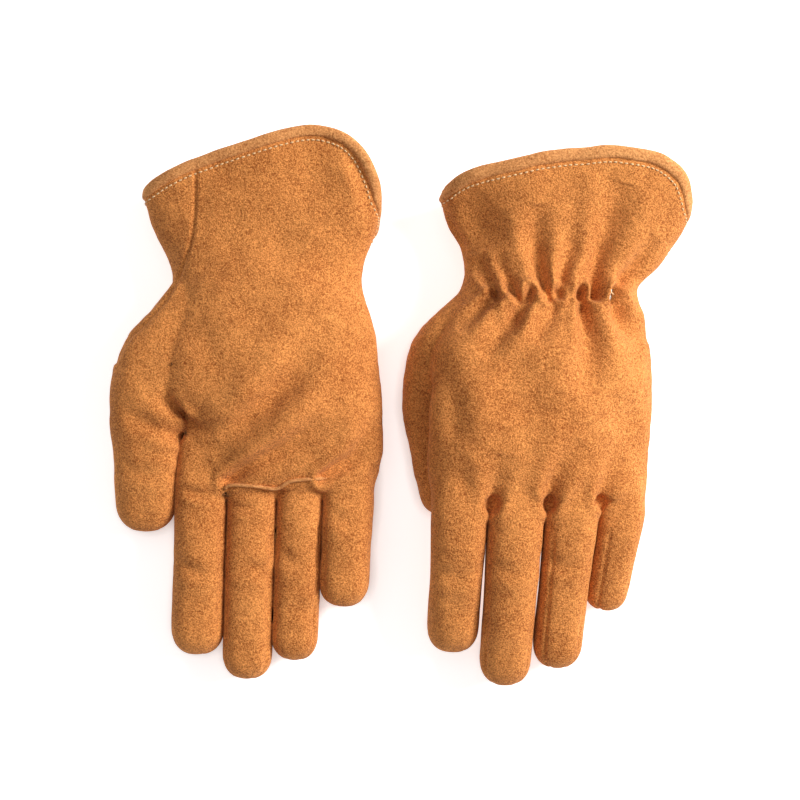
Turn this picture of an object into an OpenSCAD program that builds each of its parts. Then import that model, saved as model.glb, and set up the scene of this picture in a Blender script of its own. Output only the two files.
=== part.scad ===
// Pair of slip-on suede work gloves: the right glove lies palm up, the left one back up.
// Each glove is drawn lying palm up, with its fingers along -Y; the left one is then turned over.

/* [Leather and thread] */
// Thickness of the split cowhide
leather_t = 1.3; // [1:0.1:1.6]
// Radius of the rolled hem around the cuff mouth
hem_r = 2.5; // [2:0.1:3]
// Radius of the welt across the base of the two middle fingers
welt_r = 1; // [0.8:0.1:1.2]
// Radius of the sewing thread
thread_r = 0.4; // [0.3:0.05:0.5]
// Width of the elastic tape inside the wrist
elastic_w = 8; // [6:0.5:10]

/* [Fingers] */
// Radius at the base of the right index, middle, ring and little finger
right_finger_r = [12, 11.3, 10.6, 11]; // [10:0.1:12]
// Radius at the base of the left index, middle, ring and little finger
left_finger_r = [12.2, 12.2, 11.4, 10]; // [9:0.1:12.2]
// How far each right fingertip reaches past the hinge line
right_finger_len = [70.3, 81.7, 73, 48]; // [40:0.1:85]
// How far each left fingertip reaches past the hinge line
left_finger_len = [64.5, 80, 72.3, 45.4]; // [40:0.1:85]
// Gap between the bases of neighbouring right fingers
right_finger_gap = 0.8; // [0.6:0.1:1.2]
// Gap between the bases of neighbouring left fingers
left_finger_gap = 2; // [1.5:0.1:2.4]
// How much of the base radius is left at a fingertip
finger_taper = 0.93; // [0.88:0.01:0.96]

/* [Thumbs] */
// Radius of the right and the left thumb at its base
thumb_r = [12.8, 10.6]; // [9:0.1:12.8]
// Length of the right and the left thumb past its hinge
thumb_len = [60.3, 45]; // [40:0.1:62]

/* [Hands] */
// Where the fingers of the right and the left glove part from the palm
crotch_y = [-36, -40]; // [-42:0.5:-34]
// Where the thumb of the right and the left glove parts from the palm
thumb_y = [8, 6]; // [4:0.5:10]

/* [Hidden] */

// The two gloves, and the two leather sheets of a hand
RIGHT = 0;
LEFT = 1;
PALM = 1;
BACK = -1;
// The four fingers, from the thumb side
INDEX = 0;
MIDDLE = 1;
RING = 2;
LITTLE = 3;

// Height of the table above which the left glove is turned over
turn_z = 46;
// From the crotch line to the finger hinges, so that a flexed finger stays clear of the palm
hinge_gap = 8;
// From the thumb line to the thumb hinge
thumb_gap = 5;
// How far each hinge lies from the finger's centre towards the side it bends to, in radii
hinge_lean = 0.4;
// Gap that parts two panels of one hand where the thumb leaves it
seam_gap = 0.25;
// Half the gap between the two sheets of a hand along their side seams
seam_slack = 0.03;
// Gap between the back panel and the finger backs, which turn away from it
back_gap = 1.2;
// Seams of a finger, in degrees around it from the little-finger side, over the palm
front_seam = [35, 145];
back_seam = [215, 325];
// Facets of the hand sheets: across, and along each stretch
across = 24;
rows_upper = 12;
rows_lower = 5;
$fn = 48;

leather = [0.86, 0.54, 0.28];
leather_dark = [0.72, 0.43, 0.2];
leather_edge = [0.9, 0.66, 0.44];
cream = [0.95, 0.86, 0.68];
elastic_white = [0.9, 0.88, 0.82];

// Hand outline from the thumb line (first) to the cuff mouth (last), at even steps:
// thumb-side x, little-finger-side x, height of the two side seams, of the palm and of the back
right_upper = [
    [-133.4, -8.8, 13, 13, 37, 0.3],
    [-127.5, -10.5, 14, 13, 37, 0.3],
    [-112, -13.5, 14, 14, 34, 0.3],
    [-105.6, -17.7, 14, 14, 31, 0.3],
    [-109, -17, 15, 15, 33, 0.3],
    [-118, -11, 17, 17, 36, 3.2]
];
left_upper = [
    [0.7, 116.6, 33.5, 31, 45, 1],
    [3.5, 115.8, 31, 30, 45, 3],
    [13.5, 112.5, 29, 30, 44, 10],
    [29, 109.5, 28, 28, 44, 12],
    [29, 118.5, 27, 27, 44, 8.5],
    [17.5, 131.6, 24, 24, 41.8, 4]
];
// The same from the thumb line to the fingers
right_lower = [
    [-104, -8.8, 12, 13, 36, 0.3],
    [-105, -8.9, 12, 12, 34, 0.3],
    [-106, -11.5, 12, 11, 27, 0.3]
];
left_lower = [
    [12.5, 116.6, 15, 31, 44, 1],
    [12.5, 115, 16, 30, 40, 2],
    [14.3, 113, 18, 28, 35.5, 8]
];
// Cuff mouth from the thumb side to the little-finger side, as [x, y]: the sheet on view, then
// the one beneath it, which is cut lower on the little-finger side
right_mouth_on_view = [
    [-118, 101], [-105, 109.5], [-88, 116], [-70, 122], [-52, 127],
    [-36, 129.1], [-21, 122.5], [-12.5, 108], [-11, 93]
];
right_mouth_beneath = [
    [-118, 101], [-103, 107], [-87, 110.5], [-70, 111], [-52, 108],
    [-36, 98], [-23, 86], [-13.5, 83], [-11, 93]
];
left_mouth_on_view = [
    [17.5, 101], [31, 108.5], [47, 112.5], [64, 116], [82, 118],
    [100, 118.7], [117, 115.5], [128.3, 107], [131.6, 93]
];
left_mouth_beneath = [
    [17.5, 101], [33, 103.5], [50, 104.5], [68, 102.5], [86, 97],
    [103, 86.5], [116, 75.5], [126.3, 81], [131.6, 93]
];

upper = [right_upper, left_upper];
lower = [right_lower, left_lower];
palm_mouth = [right_mouth_on_view, left_mouth_beneath];
back_mouth = [right_mouth_beneath, left_mouth_on_view];
finger_r = [right_finger_r, left_finger_r];
finger_len = [right_finger_len, left_finger_len];
finger_gap = [right_finger_gap, left_finger_gap];
// Sideways drift of each fingertip, and height of each finger's centre at the hinge
tip_drift = [[-1.2, -1.8, -2.4, -2.7], [-3, -4.8, -6.4, -7]];
hinge_z = [right_finger_r, [18, 19.5, 23, 27]];
tip_z = [finger_taper * right_finger_r, [for (r = left_finger_r) turn_z - finger_taper * r]];
// Centre of each thumb at its hinge, as [x, z], and its tip's sideways drift
thumb_at = [[-120.6, 12.8], [11.4, 34.9]];
thumb_drift = [2.2, 2.6];
// How far below the cuff mouth the hem's centre, the panels' edge and the hem stitches run
hem_drop = 3.4;
panel_drop = 7;
thread_drop = 9;
// How far up the hand the gathers run, from the thumb line to the cuff mouth
gather_line = 0.42;
// The palm welt, as [share of the way across, step past the crotch line]
welt_route = [[0.27, -0.8], [0.3, 0.6], [0.4, 0.3], [0.52, -0.6], [0.58, 1.4], [0.68, 1.8], [0.77, 2]];

function lerp(a, b, t) = a + (b - a) * t;
function ease(t) = let (c = max(0, min(1, t))) c * c * (3 - 2 * c);
function bow(u, n) = pow(max(0, 1 - pow(abs(2 * u - 1), n)), 1 / n);
function edge_spaced(k, n) = (1 - cos(180 * k / n)) / 2;
function sum_to(list, n) = n < 0 ? 0 : list[n] + sum_to(list, n - 1);

// Point on a smooth curve through evenly spaced control points, t from 0 to 1
function smooth(points, t) =
    let (
        n = len(points) - 1,
        k = min(n - 1, max(0, floor(t * n))),
        f = t * n - k,
        b = points[k],
        c = points[k + 1],
        a = k > 0 ? points[k - 1] : 2 * b - c,
        d = k < n - 1 ? points[k + 2] : 2 * c - b
    )
    b + f / 2 * (c - a + f * (2 * a - 5 * b + 4 * c - d + f * (3 * b - a - 3 * c + d)));

// Height of a sheet in a section given as in right_upper, less an inset from the outer face
function sheet_z(section, sheet, u, inset) =
    let (
        seam = lerp(section[2], section[3], u),
        reach = abs((sheet == PALM ? section[4] : section[5]) - (section[2] + section[3]) / 2)
    )
    seam + sheet * (seam_slack + (reach - inset) * bow(u, 2.2));

// Point of a hand sheet between the thumb line (v = 0) and the cuff mouth (v = 1)
function upper_point(glove, sheet, u, v, inset = 0) =
    let (
        section = smooth(upper[glove], v),
        mouth = smooth(sheet == PALM ? palm_mouth[glove] : back_mouth[glove], u),
        x = lerp(lerp(section[0], section[1], u), mouth[0], ease((v - 0.55) / 0.45))
    )
    [x + inset * (1 - 2 * u), lerp(thumb_y[glove], mouth[1], v), sheet_z(section, sheet, u, inset)];

// Share of the way up the hand at a given distance below the cuff mouth
function share_below(glove, sheet, u, drop) =
    let (mouth = smooth(sheet == PALM ? palm_mouth[glove] : back_mouth[glove], u))
    1 - drop / (mouth[1] - thumb_y[glove]);

// Point of a hand sheet between the thumb line (v = 0) and its end at the fingers (v = 1)
function lower_point(glove, sheet, u, v, inset = 0) =
    let (
        end_y = crotch_y[glove] - (sheet == PALM ? 0 : hinge_gap - back_gap),
        y = lerp(thumb_y[glove] - seam_gap, end_y, v),
        section = smooth(lower[glove], min(1, (thumb_y[glove] - y) / (thumb_y[glove] - crotch_y[glove])))
    )
    [lerp(section[0] + inset, section[1] - inset, u), y, sheet_z(section, sheet, u, inset)];

// Faces of a quad, as two triangles
function split(a, b, c, d) = [[a, b, c], [a, c, d]];

// Closed leather sheet between two grids of points of the same size; outward says which side of
// the grid the outer face looks to
module leather_sheet(outer, inner, outward) {
    n = len(outer);
    m = len(outer[0]);
    far = n * m;
    faces = [
        for (i = [0:n - 2], j = [0:m - 2])
            let (a = i * m + j, b = a + 1, c = a + m + 1, d = a + m)
            each concat(split(a, b, c, d), split(far + d, far + c, far + b, far + a)),
        for (j = [0:m - 2])
            let (a = j, b = j + 1, c = (n - 1) * m + j, d = c + 1)
            each concat(split(b, a, far + a, far + b), split(c, d, far + d, far + c)),
        for (i = [0:n - 2])
            let (a = i * m, b = a + m, c = a + m - 1, d = b + m - 1)
            each concat(split(a, b, far + b, far + a), split(d, c, far + c, far + d))
    ];
    polyhedron(
        points = [for (row = outer) each row, for (row = inner) each row],
        faces = outward > 0 ? faces : [for (f = faces) [f[2], f[1], f[0]]],
        convexity = 6
    );
}

// Grid of points over the wrist and thumb-mound stretch of a hand sheet
function upper_grid(glove, sheet, inset) = [
    for (i = [0:rows_upper]) [
        for (j = [0:across])
            let (u = edge_spaced(j, across), end = share_below(glove, sheet, u, panel_drop))
            upper_point(glove, sheet, u, end * i / rows_upper, inset)
    ]
];

// The wrist and thumb-mound stretch of a hand sheet
module upper_sheet(glove, sheet) {
    leather_sheet(upper_grid(glove, sheet, 0), upper_grid(glove, sheet, leather_t), -sheet);
}

// The stretch of a hand sheet between the thumb and the fingers
module lower_sheet(glove, sheet) {
    outer = [for (i = [0:rows_lower]) [for (j = [0:across])
        lower_point(glove, sheet, edge_spaced(j, across), i / rows_lower)]];
    inner = [for (i = [0:rows_lower]) [for (j = [0:across])
        lower_point(glove, sheet, edge_spaced(j, across), i / rows_lower, leather_t)]];
    leather_sheet(outer, inner, sheet);
}

module hand_panel(glove, sheet) {
    upper_sheet(glove, sheet);
    lower_sheet(glove, sheet);
}

function unit(v) = v / norm(v);

// Ring of points around a path's point k; up keeps the ring from twisting
function ring(path, k, r, sides, closed, up) =
    let (
        n = len(path),
        before = closed ? path[(k + n - 1) % n] : path[max(0, k - 1)],
        after = closed ? path[(k + 1) % n] : path[min(n - 1, k + 1)],
        along = unit(after - before),
        side = unit(cross(along, up)),
        over = cross(side, along)
    )
    [for (s = [0:sides - 1]) path[k] + r * (cos(360 * s / sides) * side + sin(360 * s / sides) * over)];

// Round cord along a path, closed on itself or with flat ends
module cord(path, r, sides = 8, closed = false, up = [0, 0, 1]) {
    n = len(path);
    last = closed ? n - 1 : n - 2;
    ends = closed ? [] : [
        [for (s = [0:sides - 1]) s],
        [for (s = [sides - 1:-1:0]) (n - 1) * sides + s]
    ];
    faces = [
        for (k = [0:last], s = [0:sides - 1])
            let (
                a = k * sides + s,
                b = k * sides + (s + 1) % sides,
                c = (k + 1) % n * sides + (s + 1) % sides,
                d = (k + 1) % n * sides + s
            )
            each split(d, c, b, a)
    ];
    polyhedron(
        points = [for (k = [0:n - 1]) each ring(path, k, r, sides, closed, up)],
        faces = concat(faces, ends),
        convexity = 6
    );
}

// Point of a hand sheet a given distance below the cuff mouth
function cuff_point(glove, sheet, u, drop, inset) =
    upper_point(glove, sheet, u, share_below(glove, sheet, u, drop), inset);

// Points all round the cuff: over the palm and back under the other sheet
function around_cuff(glove, drop, inset, steps) = [
    for (k = [0:steps - 1]) cuff_point(glove, PALM, edge_spaced(k, steps), drop, inset),
    for (k = [steps:-1:1]) cuff_point(glove, BACK, edge_spaced(k, steps), drop, inset)
];

module hem_binding(glove) {
    cord(around_cuff(glove, hem_drop, leather_t / 2, 36), hem_r, 10, true, [0, 1, 0.02]);
}

module hem_thread(glove) {
    cord(around_cuff(glove, thread_drop, -thread_r - 0.1, 36), thread_r, 6, true, [0, 1, 0.02]);
}

// Row of stitches that holds the elastic to the back of the wrist
module gather_thread(glove) {
    steps = 24;
    path = [for (k = [0:steps])
        upper_point(glove, BACK, lerp(0.14, 0.9, k / steps), gather_line, leather_t + thread_r + 0.1)];
    cord(path, thread_r, 6, false, [0, 1, 0]);
}

// Flat elastic tape inside the back of the wrist, under the stitches
module wrist_elastic(glove) {
    steps = 24;
    half_v = elastic_w / 2 / 105;
    depth = leather_t + 2 * thread_r + 0.3;
    lines = [-half_v, 0, half_v];
    outer = [for (dv = lines) [for (k = [0:steps])
        upper_point(glove, BACK, lerp(0.12, 0.92, k / steps), gather_line + dv, depth)]];
    inner = [for (dv = lines) [for (k = [0:steps])
        upper_point(glove, BACK, lerp(0.12, 0.92, k / steps), gather_line + dv, depth + 1)]];
    leather_sheet(outer, inner, 1);
}

// Welt across the palm, where the fronts of the middle and ring fingers are sewn on
module palm_welt(glove) {
    steps = 20;
    path = [for (k = [0:steps])
        let (
            at = smooth(welt_route, k / steps),
            y = crotch_y[glove] + at[1] + welt_r,
            on = lower_point(glove, PALM, at[0], min(1, (thumb_y[glove] - y) / (thumb_y[glove] - crotch_y[glove])))
        )
        [on[0], y, on[2] + welt_r + 0.25]];
    cord(path, welt_r, 8, false, [0, 0, 1]);
}

// Where a finger's centre meets its hinge plane
function finger_base(glove, k) =
    let (
        r = finger_r[glove],
        gap = finger_gap[glove],
        first = lower[glove][2][0] + r[0]
    )
    [
        first + (k == 0 ? 0 : 2 * sum_to(r, k - 1) - r[0] + r[k] + k * gap),
        crotch_y[glove] - hinge_gap,
        hinge_z[glove][k]
    ];

// Strip of leather that closes the hand between two neighbouring fingers
module crotch_gusset(glove, k) {
    a = finger_base(glove, k);
    b = finger_base(glove, k + 1);
    middle = (a + b) / 2;
    u = (middle[0] - lower[glove][2][0]) / (lower[glove][2][1] - lower[glove][2][0]);
    low = lower_point(glove, BACK, u, 0.85, leather_t)[2] + 1;
    high = lower_point(glove, PALM, u, 1, leather_t)[2] - 0.2;
    translate([middle[0], crotch_y[glove] - 0.2, (low + high) / 2])
        rotate([90, 0, 0])
            linear_extrude(leather_t)
                scale([0.42, 1])
                    circle(d = high - low);
}

module crotch_gussets(glove) {
    for (k = [INDEX:RING])
        crotch_gusset(glove, k);
}

// Outline of a stall's wall from its open end to its domed tip, as [radius, distance]
function stall_wall(r, len, inset) =
    let (tip_r = finger_taper * r, dome = tip_r * 0.95)
    [
        [r - inset, 0],
        for (k = [0:7]) [(tip_r - inset) * cos(90 * k / 7), len - dome + (dome - inset) * sin(90 * k / 7)]
    ];

// Part of a finger or thumb stall between two angles around it
module stall_panel(r, len, from, to) {
    outer = stall_wall(r, len, 0);
    inner = stall_wall(r, len, leather_t);
    rotate_extrude(angle = to - from, start = from)
        polygon([each outer, for (k = [len(inner) - 1:-1:0]) inner[k]]);
}

// Puts a stall's open end at a point and turns its tip towards another
module aim(base, tip) {
    way = tip - base;
    yaw = atan2(way[0], -way[1]);
    droop = asin(-way[2] / norm(way));
    translate(base)
        rotate([90 + droop, 0, yaw])
            children();
}

function finger_tip(glove, k) =
    finger_base(glove, k) + [
        tip_drift[glove][k],
        -finger_len[glove][k],
        tip_z[glove][k] - hinge_z[glove][k]
    ];

module finger_panel(glove, k, from, to) {
    base = finger_base(glove, k);
    tip = finger_tip(glove, k);
    aim(base, tip)
        stall_panel(finger_r[glove][k], norm(tip - base), from, to);
}

module finger_front(glove, k) {
    finger_panel(glove, k, k == LITTLE ? 0 : front_seam[0], k == INDEX ? 180 : front_seam[1]);
}

module finger_back(glove, k) {
    finger_panel(glove, k, k == INDEX ? 180 : back_seam[0], k == LITTLE ? 360 : back_seam[1]);
}

// Side strips of a finger, only on the sides that face another finger
module fourchettes(glove, k) {
    if (k != LITTLE)
        finger_panel(glove, k, back_seam[1] - 360, front_seam[0]);
    if (k != INDEX)
        finger_panel(glove, k, front_seam[1], back_seam[0]);
}

module thumb_panel(glove, from, to) {
    base = [thumb_at[glove][0], thumb_y[glove] - thumb_gap, thumb_at[glove][1]];
    tip = base + [thumb_drift[glove], -thumb_len[glove], 0];
    aim(base, tip)
        stall_panel(thumb_r[glove], norm(tip - base), from, to);
}

// Lays a glove down: the left one is turned over on to its palm
module lay(glove) {
    if (glove == LEFT)
        translate([0, 0, turn_z]) mirror([0, 0, 1]) children();
    else
        children();
}

module right_back_panel() { color(leather_dark) lay(RIGHT) hand_panel(RIGHT, BACK); }
module right_palm_panel() { color(leather) lay(RIGHT) hand_panel(RIGHT, PALM); }
module right_crotch_gussets() { color(leather_dark) lay(RIGHT) crotch_gussets(RIGHT); }
module right_hem_binding() { color(leather_edge) lay(RIGHT) hem_binding(RIGHT); }
module right_hem_thread() { color(cream) lay(RIGHT) hem_thread(RIGHT); }
module right_gather_thread() { color(cream) lay(RIGHT) gather_thread(RIGHT); }
module right_wrist_elastic() { color(elastic_white) lay(RIGHT) wrist_elastic(RIGHT); }
module right_palm_welt() { color(leather_edge) lay(RIGHT) palm_welt(RIGHT); }
module right_index_back() { color(leather_dark) lay(RIGHT) finger_back(RIGHT, INDEX); }
module right_index_front() { color(leather) lay(RIGHT) finger_front(RIGHT, INDEX); }
module right_index_fourchette() { color(leather_edge) lay(RIGHT) fourchettes(RIGHT, INDEX); }
module right_middle_back() { color(leather_dark) lay(RIGHT) finger_back(RIGHT, MIDDLE); }
module right_middle_front() { color(leather) lay(RIGHT) finger_front(RIGHT, MIDDLE); }
module right_middle_fourchettes() { color(leather_edge) lay(RIGHT) fourchettes(RIGHT, MIDDLE); }
module right_ring_back() { color(leather_dark) lay(RIGHT) finger_back(RIGHT, RING); }
module right_ring_front() { color(leather) lay(RIGHT) finger_front(RIGHT, RING); }
module right_ring_fourchettes() { color(leather_edge) lay(RIGHT) fourchettes(RIGHT, RING); }
module right_little_back() { color(leather_dark) lay(RIGHT) finger_back(RIGHT, LITTLE); }
module right_little_front() { color(leather) lay(RIGHT) finger_front(RIGHT, LITTLE); }
module right_little_fourchette() { color(leather_edge) lay(RIGHT) fourchettes(RIGHT, LITTLE); }
module right_thumb_back() { color(leather_dark) lay(RIGHT) thumb_panel(RIGHT, 180, 360); }
module right_thumb_front() { color(leather) lay(RIGHT) thumb_panel(RIGHT, 0, 180); }

module left_back_panel() { color(leather_dark) lay(LEFT) hand_panel(LEFT, BACK); }
module left_palm_panel() { color(leather) lay(LEFT) hand_panel(LEFT, PALM); }
module left_crotch_gussets() { color(leather_dark) lay(LEFT) crotch_gussets(LEFT); }
module left_hem_binding() { color(leather_edge) lay(LEFT) hem_binding(LEFT); }
module left_hem_thread() { color(cream) lay(LEFT) hem_thread(LEFT); }
module left_gather_thread() { color(cream) lay(LEFT) gather_thread(LEFT); }
module left_wrist_elastic() { color(elastic_white) lay(LEFT) wrist_elastic(LEFT); }
module left_palm_welt() { color(leather_edge) lay(LEFT) palm_welt(LEFT); }
module left_index_back() { color(leather_dark) lay(LEFT) finger_back(LEFT, INDEX); }
module left_index_front() { color(leather) lay(LEFT) finger_front(LEFT, INDEX); }
module left_index_fourchette() { color(leather_edge) lay(LEFT) fourchettes(LEFT, INDEX); }
module left_middle_back() { color(leather_dark) lay(LEFT) finger_back(LEFT, MIDDLE); }
module left_middle_front() { color(leather) lay(LEFT) finger_front(LEFT, MIDDLE); }
module left_middle_fourchettes() { color(leather_edge) lay(LEFT) fourchettes(LEFT, MIDDLE); }
module left_ring_back() { color(leather_dark) lay(LEFT) finger_back(LEFT, RING); }
module left_ring_front() { color(leather) lay(LEFT) finger_front(LEFT, RING); }
module left_ring_fourchettes() { color(leather_edge) lay(LEFT) fourchettes(LEFT, RING); }
module left_little_back() { color(leather_dark) lay(LEFT) finger_back(LEFT, LITTLE); }
module left_little_front() { color(leather) lay(LEFT) finger_front(LEFT, LITTLE); }
module left_little_fourchette() { color(leather_edge) lay(LEFT) fourchettes(LEFT, LITTLE); }
module left_thumb_back() { color(leather_dark) lay(LEFT) thumb_panel(LEFT, 180, 360); }
module left_thumb_front() { color(leather) lay(LEFT) thumb_panel(LEFT, 0, 180); }

right_back_panel();
right_palm_panel();
right_crotch_gussets();
right_hem_binding();
right_hem_thread();
right_gather_thread();
right_wrist_elastic();
right_palm_welt();
right_index_back();
right_index_front();
right_index_fourchette();
right_middle_back();
right_middle_front();
right_middle_fourchettes();
right_ring_back();
right_ring_front();
right_ring_fourchettes();
right_little_back();
right_little_front();
right_little_fourchette();
right_thumb_back();
right_thumb_front();
left_back_panel();
left_palm_panel();
left_crotch_gussets();
left_hem_binding();
left_hem_thread();
left_gather_thread();
left_wrist_elastic();
left_palm_welt();
left_index_back();
left_index_front();
left_index_fourchette();
left_middle_back();
left_middle_front();
left_middle_fourchettes();
left_ring_back();
left_ring_front();
left_ring_fourchettes();
left_little_back();
left_little_front();
left_little_fourchette();
left_thumb_back();
left_thumb_front();
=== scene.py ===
"""Pair of suede work gloves: leather skins, hems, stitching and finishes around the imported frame."""

import logging
import math
from dataclasses import dataclass, field
from enum import Enum

import bmesh
import bpy
import numpy as np
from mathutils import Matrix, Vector, noise
from mathutils.bvhtree import BVHTree

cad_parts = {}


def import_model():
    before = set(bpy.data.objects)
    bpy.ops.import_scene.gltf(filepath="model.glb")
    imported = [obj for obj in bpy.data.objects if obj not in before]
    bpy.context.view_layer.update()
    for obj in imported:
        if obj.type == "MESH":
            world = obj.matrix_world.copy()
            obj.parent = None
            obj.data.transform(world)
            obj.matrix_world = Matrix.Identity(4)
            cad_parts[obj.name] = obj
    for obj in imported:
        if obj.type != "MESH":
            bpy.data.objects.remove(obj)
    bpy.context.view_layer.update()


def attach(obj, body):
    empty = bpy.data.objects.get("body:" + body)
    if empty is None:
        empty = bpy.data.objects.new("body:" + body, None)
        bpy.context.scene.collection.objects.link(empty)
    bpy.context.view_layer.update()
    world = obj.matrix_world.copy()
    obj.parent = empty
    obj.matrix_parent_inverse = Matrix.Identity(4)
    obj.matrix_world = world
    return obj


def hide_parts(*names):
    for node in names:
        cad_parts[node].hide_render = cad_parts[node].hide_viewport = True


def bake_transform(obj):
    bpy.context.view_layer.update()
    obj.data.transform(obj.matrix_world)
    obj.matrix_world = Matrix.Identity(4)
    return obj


LOG = logging.getLogger("gloves")
MM = 0.001
LEATHER = 1.3
VOXEL = 1.3
INSET = 1.8
FLOOR_GAP = 0.15
WEB_HALF_WIDTH = 2.4
WEB_HALF_HEIGHT = 7.5
ELASTIC_DEPTH = LEATHER + 0.5
ELASTIC_THICK = 0.9


class Side(Enum):
    """Which hand a glove is for."""

    RIGHT = "right"
    LEFT = "left"


class Finger(Enum):
    """The four fingers, counted from the thumb."""

    INDEX = 0
    MIDDLE = 1
    RING = 2
    LITTLE = 3


def ease(t: np.ndarray) -> np.ndarray:
    """Return t clamped to 0..1 with a smooth start and stop."""
    c = np.clip(t, 0.0, 1.0)
    return c * c * (3.0 - 2.0 * c)


def spline(points: list, t: np.ndarray) -> np.ndarray:
    """Evaluate a smooth curve through evenly spaced control points.

    Args:
        points: Control points, each a sequence of the same length.
        t: Positions along the curve from 0 to 1.

    Returns:
        One row per position.
    """
    p = np.asarray(points, float)
    last = len(p) - 1
    padded = np.vstack([2 * p[0] - p[1], p, 2 * p[-1] - p[-2]])
    s = np.clip(np.asarray(t, float), 0.0, 1.0) * last
    k = np.minimum(s.astype(int), last - 1)
    f = (s - k)[:, None]
    a, b, c, d = (padded[k + i] for i in range(4))
    return b + f / 2 * (c - a + f * (2 * a - 5 * b + 4 * c - d + f * (3 * b - a - 3 * c + d)))


def nearest_on_route(xy: np.ndarray, line: np.ndarray) -> tuple:
    """Find the nearest place on a route to each point.

    Args:
        xy: Points as seen from above.
        line: The route, one row per corner.

    Returns:
        Distances from the route and shares of the way along it.
    """
    best, share = np.full(len(xy), 1e9), np.zeros(len(xy))
    steps = np.linalg.norm(np.diff(line, axis=0), axis=1)
    reach = np.concatenate([[0.0], np.cumsum(steps)])
    for k, (a, b) in enumerate(zip(line[:-1], line[1:])):
        way = b - a
        t = np.clip(((xy - a) @ way) / max(way @ way, 1e-9), 0, 1)
        gap = np.linalg.norm(xy - (a + t[:, None] * way), axis=1)
        closer = gap < best
        best = np.where(closer, gap, best)
        share = np.where(closer, (reach[k] + t * steps[k]) / reach[-1], share)
    return best, share


def unit(rows: np.ndarray) -> np.ndarray:
    """Return each row scaled to length one."""
    return rows / np.maximum(np.linalg.norm(rows, axis=-1, keepdims=True), 1e-9)


def bow(u: np.ndarray, power: float = 2.2) -> np.ndarray:
    """Return a rounded profile that is 0 at u = 0 and 1, and 1 half way."""
    return np.maximum(0.0, 1 - np.abs(2 * u - 1) ** power) ** (1 / power)


def mesh_piece(name: str, verts: np.ndarray, faces: list, materials: list) -> bpy.types.Object:
    """Make an object from points in millimetres.

    Args:
        name: The piece's name.
        verts: Points, one row each.
        faces: Lists of point numbers.
        materials: Materials for the object's slots.

    Returns:
        The linked object, shaded smooth.
    """
    mesh = bpy.data.meshes.new(name)
    mesh.from_pydata((np.asarray(verts) * MM).tolist(), [], faces)
    mesh.update()
    for material in materials:
        mesh.materials.append(material)
    mesh.polygons.foreach_set("use_smooth", [True] * len(mesh.polygons))
    obj = bpy.data.objects.new(name, mesh)
    bpy.context.scene.collection.objects.link(obj)
    return obj


def sweep(
    path: np.ndarray,
    side: np.ndarray,
    over: np.ndarray,
    half_side: np.ndarray,
    half_over: np.ndarray,
    sides: int = 12,
    closed: bool = False,
    power: float = 2.0,
) -> tuple:
    """Sweep a rounded section along a path.

    Args:
        path: Points of the route.
        side: Unit vectors across the route, one per point.
        over: Unit vectors square to side and to the route.
        half_side: Half width along side at each point.
        half_over: Half width along over at each point.
        sides: Corners of the section.
        closed: Whether the route closes on itself.
        power: 2 gives an ellipse, more gives a squarer section.

    Returns:
        Points and faces.
    """
    n = len(path)
    angle = np.arange(sides) * 2 * math.pi / sides
    ca = np.sign(np.cos(angle)) * np.abs(np.cos(angle)) ** (2 / power)
    sa = np.sign(np.sin(angle)) * np.abs(np.sin(angle)) ** (2 / power)
    verts = (
        path[:, None, :]
        + side[:, None, :] * (half_side[:, None] * ca[None, :])[..., None]
        + over[:, None, :] * (half_over[:, None] * sa[None, :])[..., None]
    ).reshape(-1, 3)
    faces = []
    for k in range(n if closed else n - 1):
        after = (k + 1) % n
        for s in range(sides):
            t = (s + 1) % sides
            faces.append([k * sides + s, k * sides + t, after * sides + t, after * sides + s])
    if not closed:
        faces.append(list(range(sides))[::-1])
        faces.append(list(range((n - 1) * sides, n * sides)))
    return verts, faces


def limb(path: np.ndarray, radii: np.ndarray, flat: float, power: float) -> tuple:
    """Sweep a stall along a path, closed by a round tip at the end.

    Args:
        path: Centre points from inside the hand to the last full section.
        radii: Half width at each point.
        flat: Height over width of the section.
        power: Squareness of the section.

    Returns:
        Points and faces of one closed shell.
    """
    along = unit(path[-1] - path[-2])
    steps = np.radians(np.linspace(0, 84, 8))[1:]
    tip = path[-1] + along * (radii[-1] * np.sin(steps))[:, None]
    centre = np.vstack([path, tip])
    radius = np.concatenate([radii, radii[-1] * np.cos(steps) ** 0.78])
    way = unit(np.gradient(centre, axis=0))
    up = np.array([0.0, 0.0, 1.0])
    side = unit(np.cross(way, up))
    over = np.cross(side, way)
    return sweep(centre, side, over, radius, radius * flat, 28, False, power)


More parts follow.
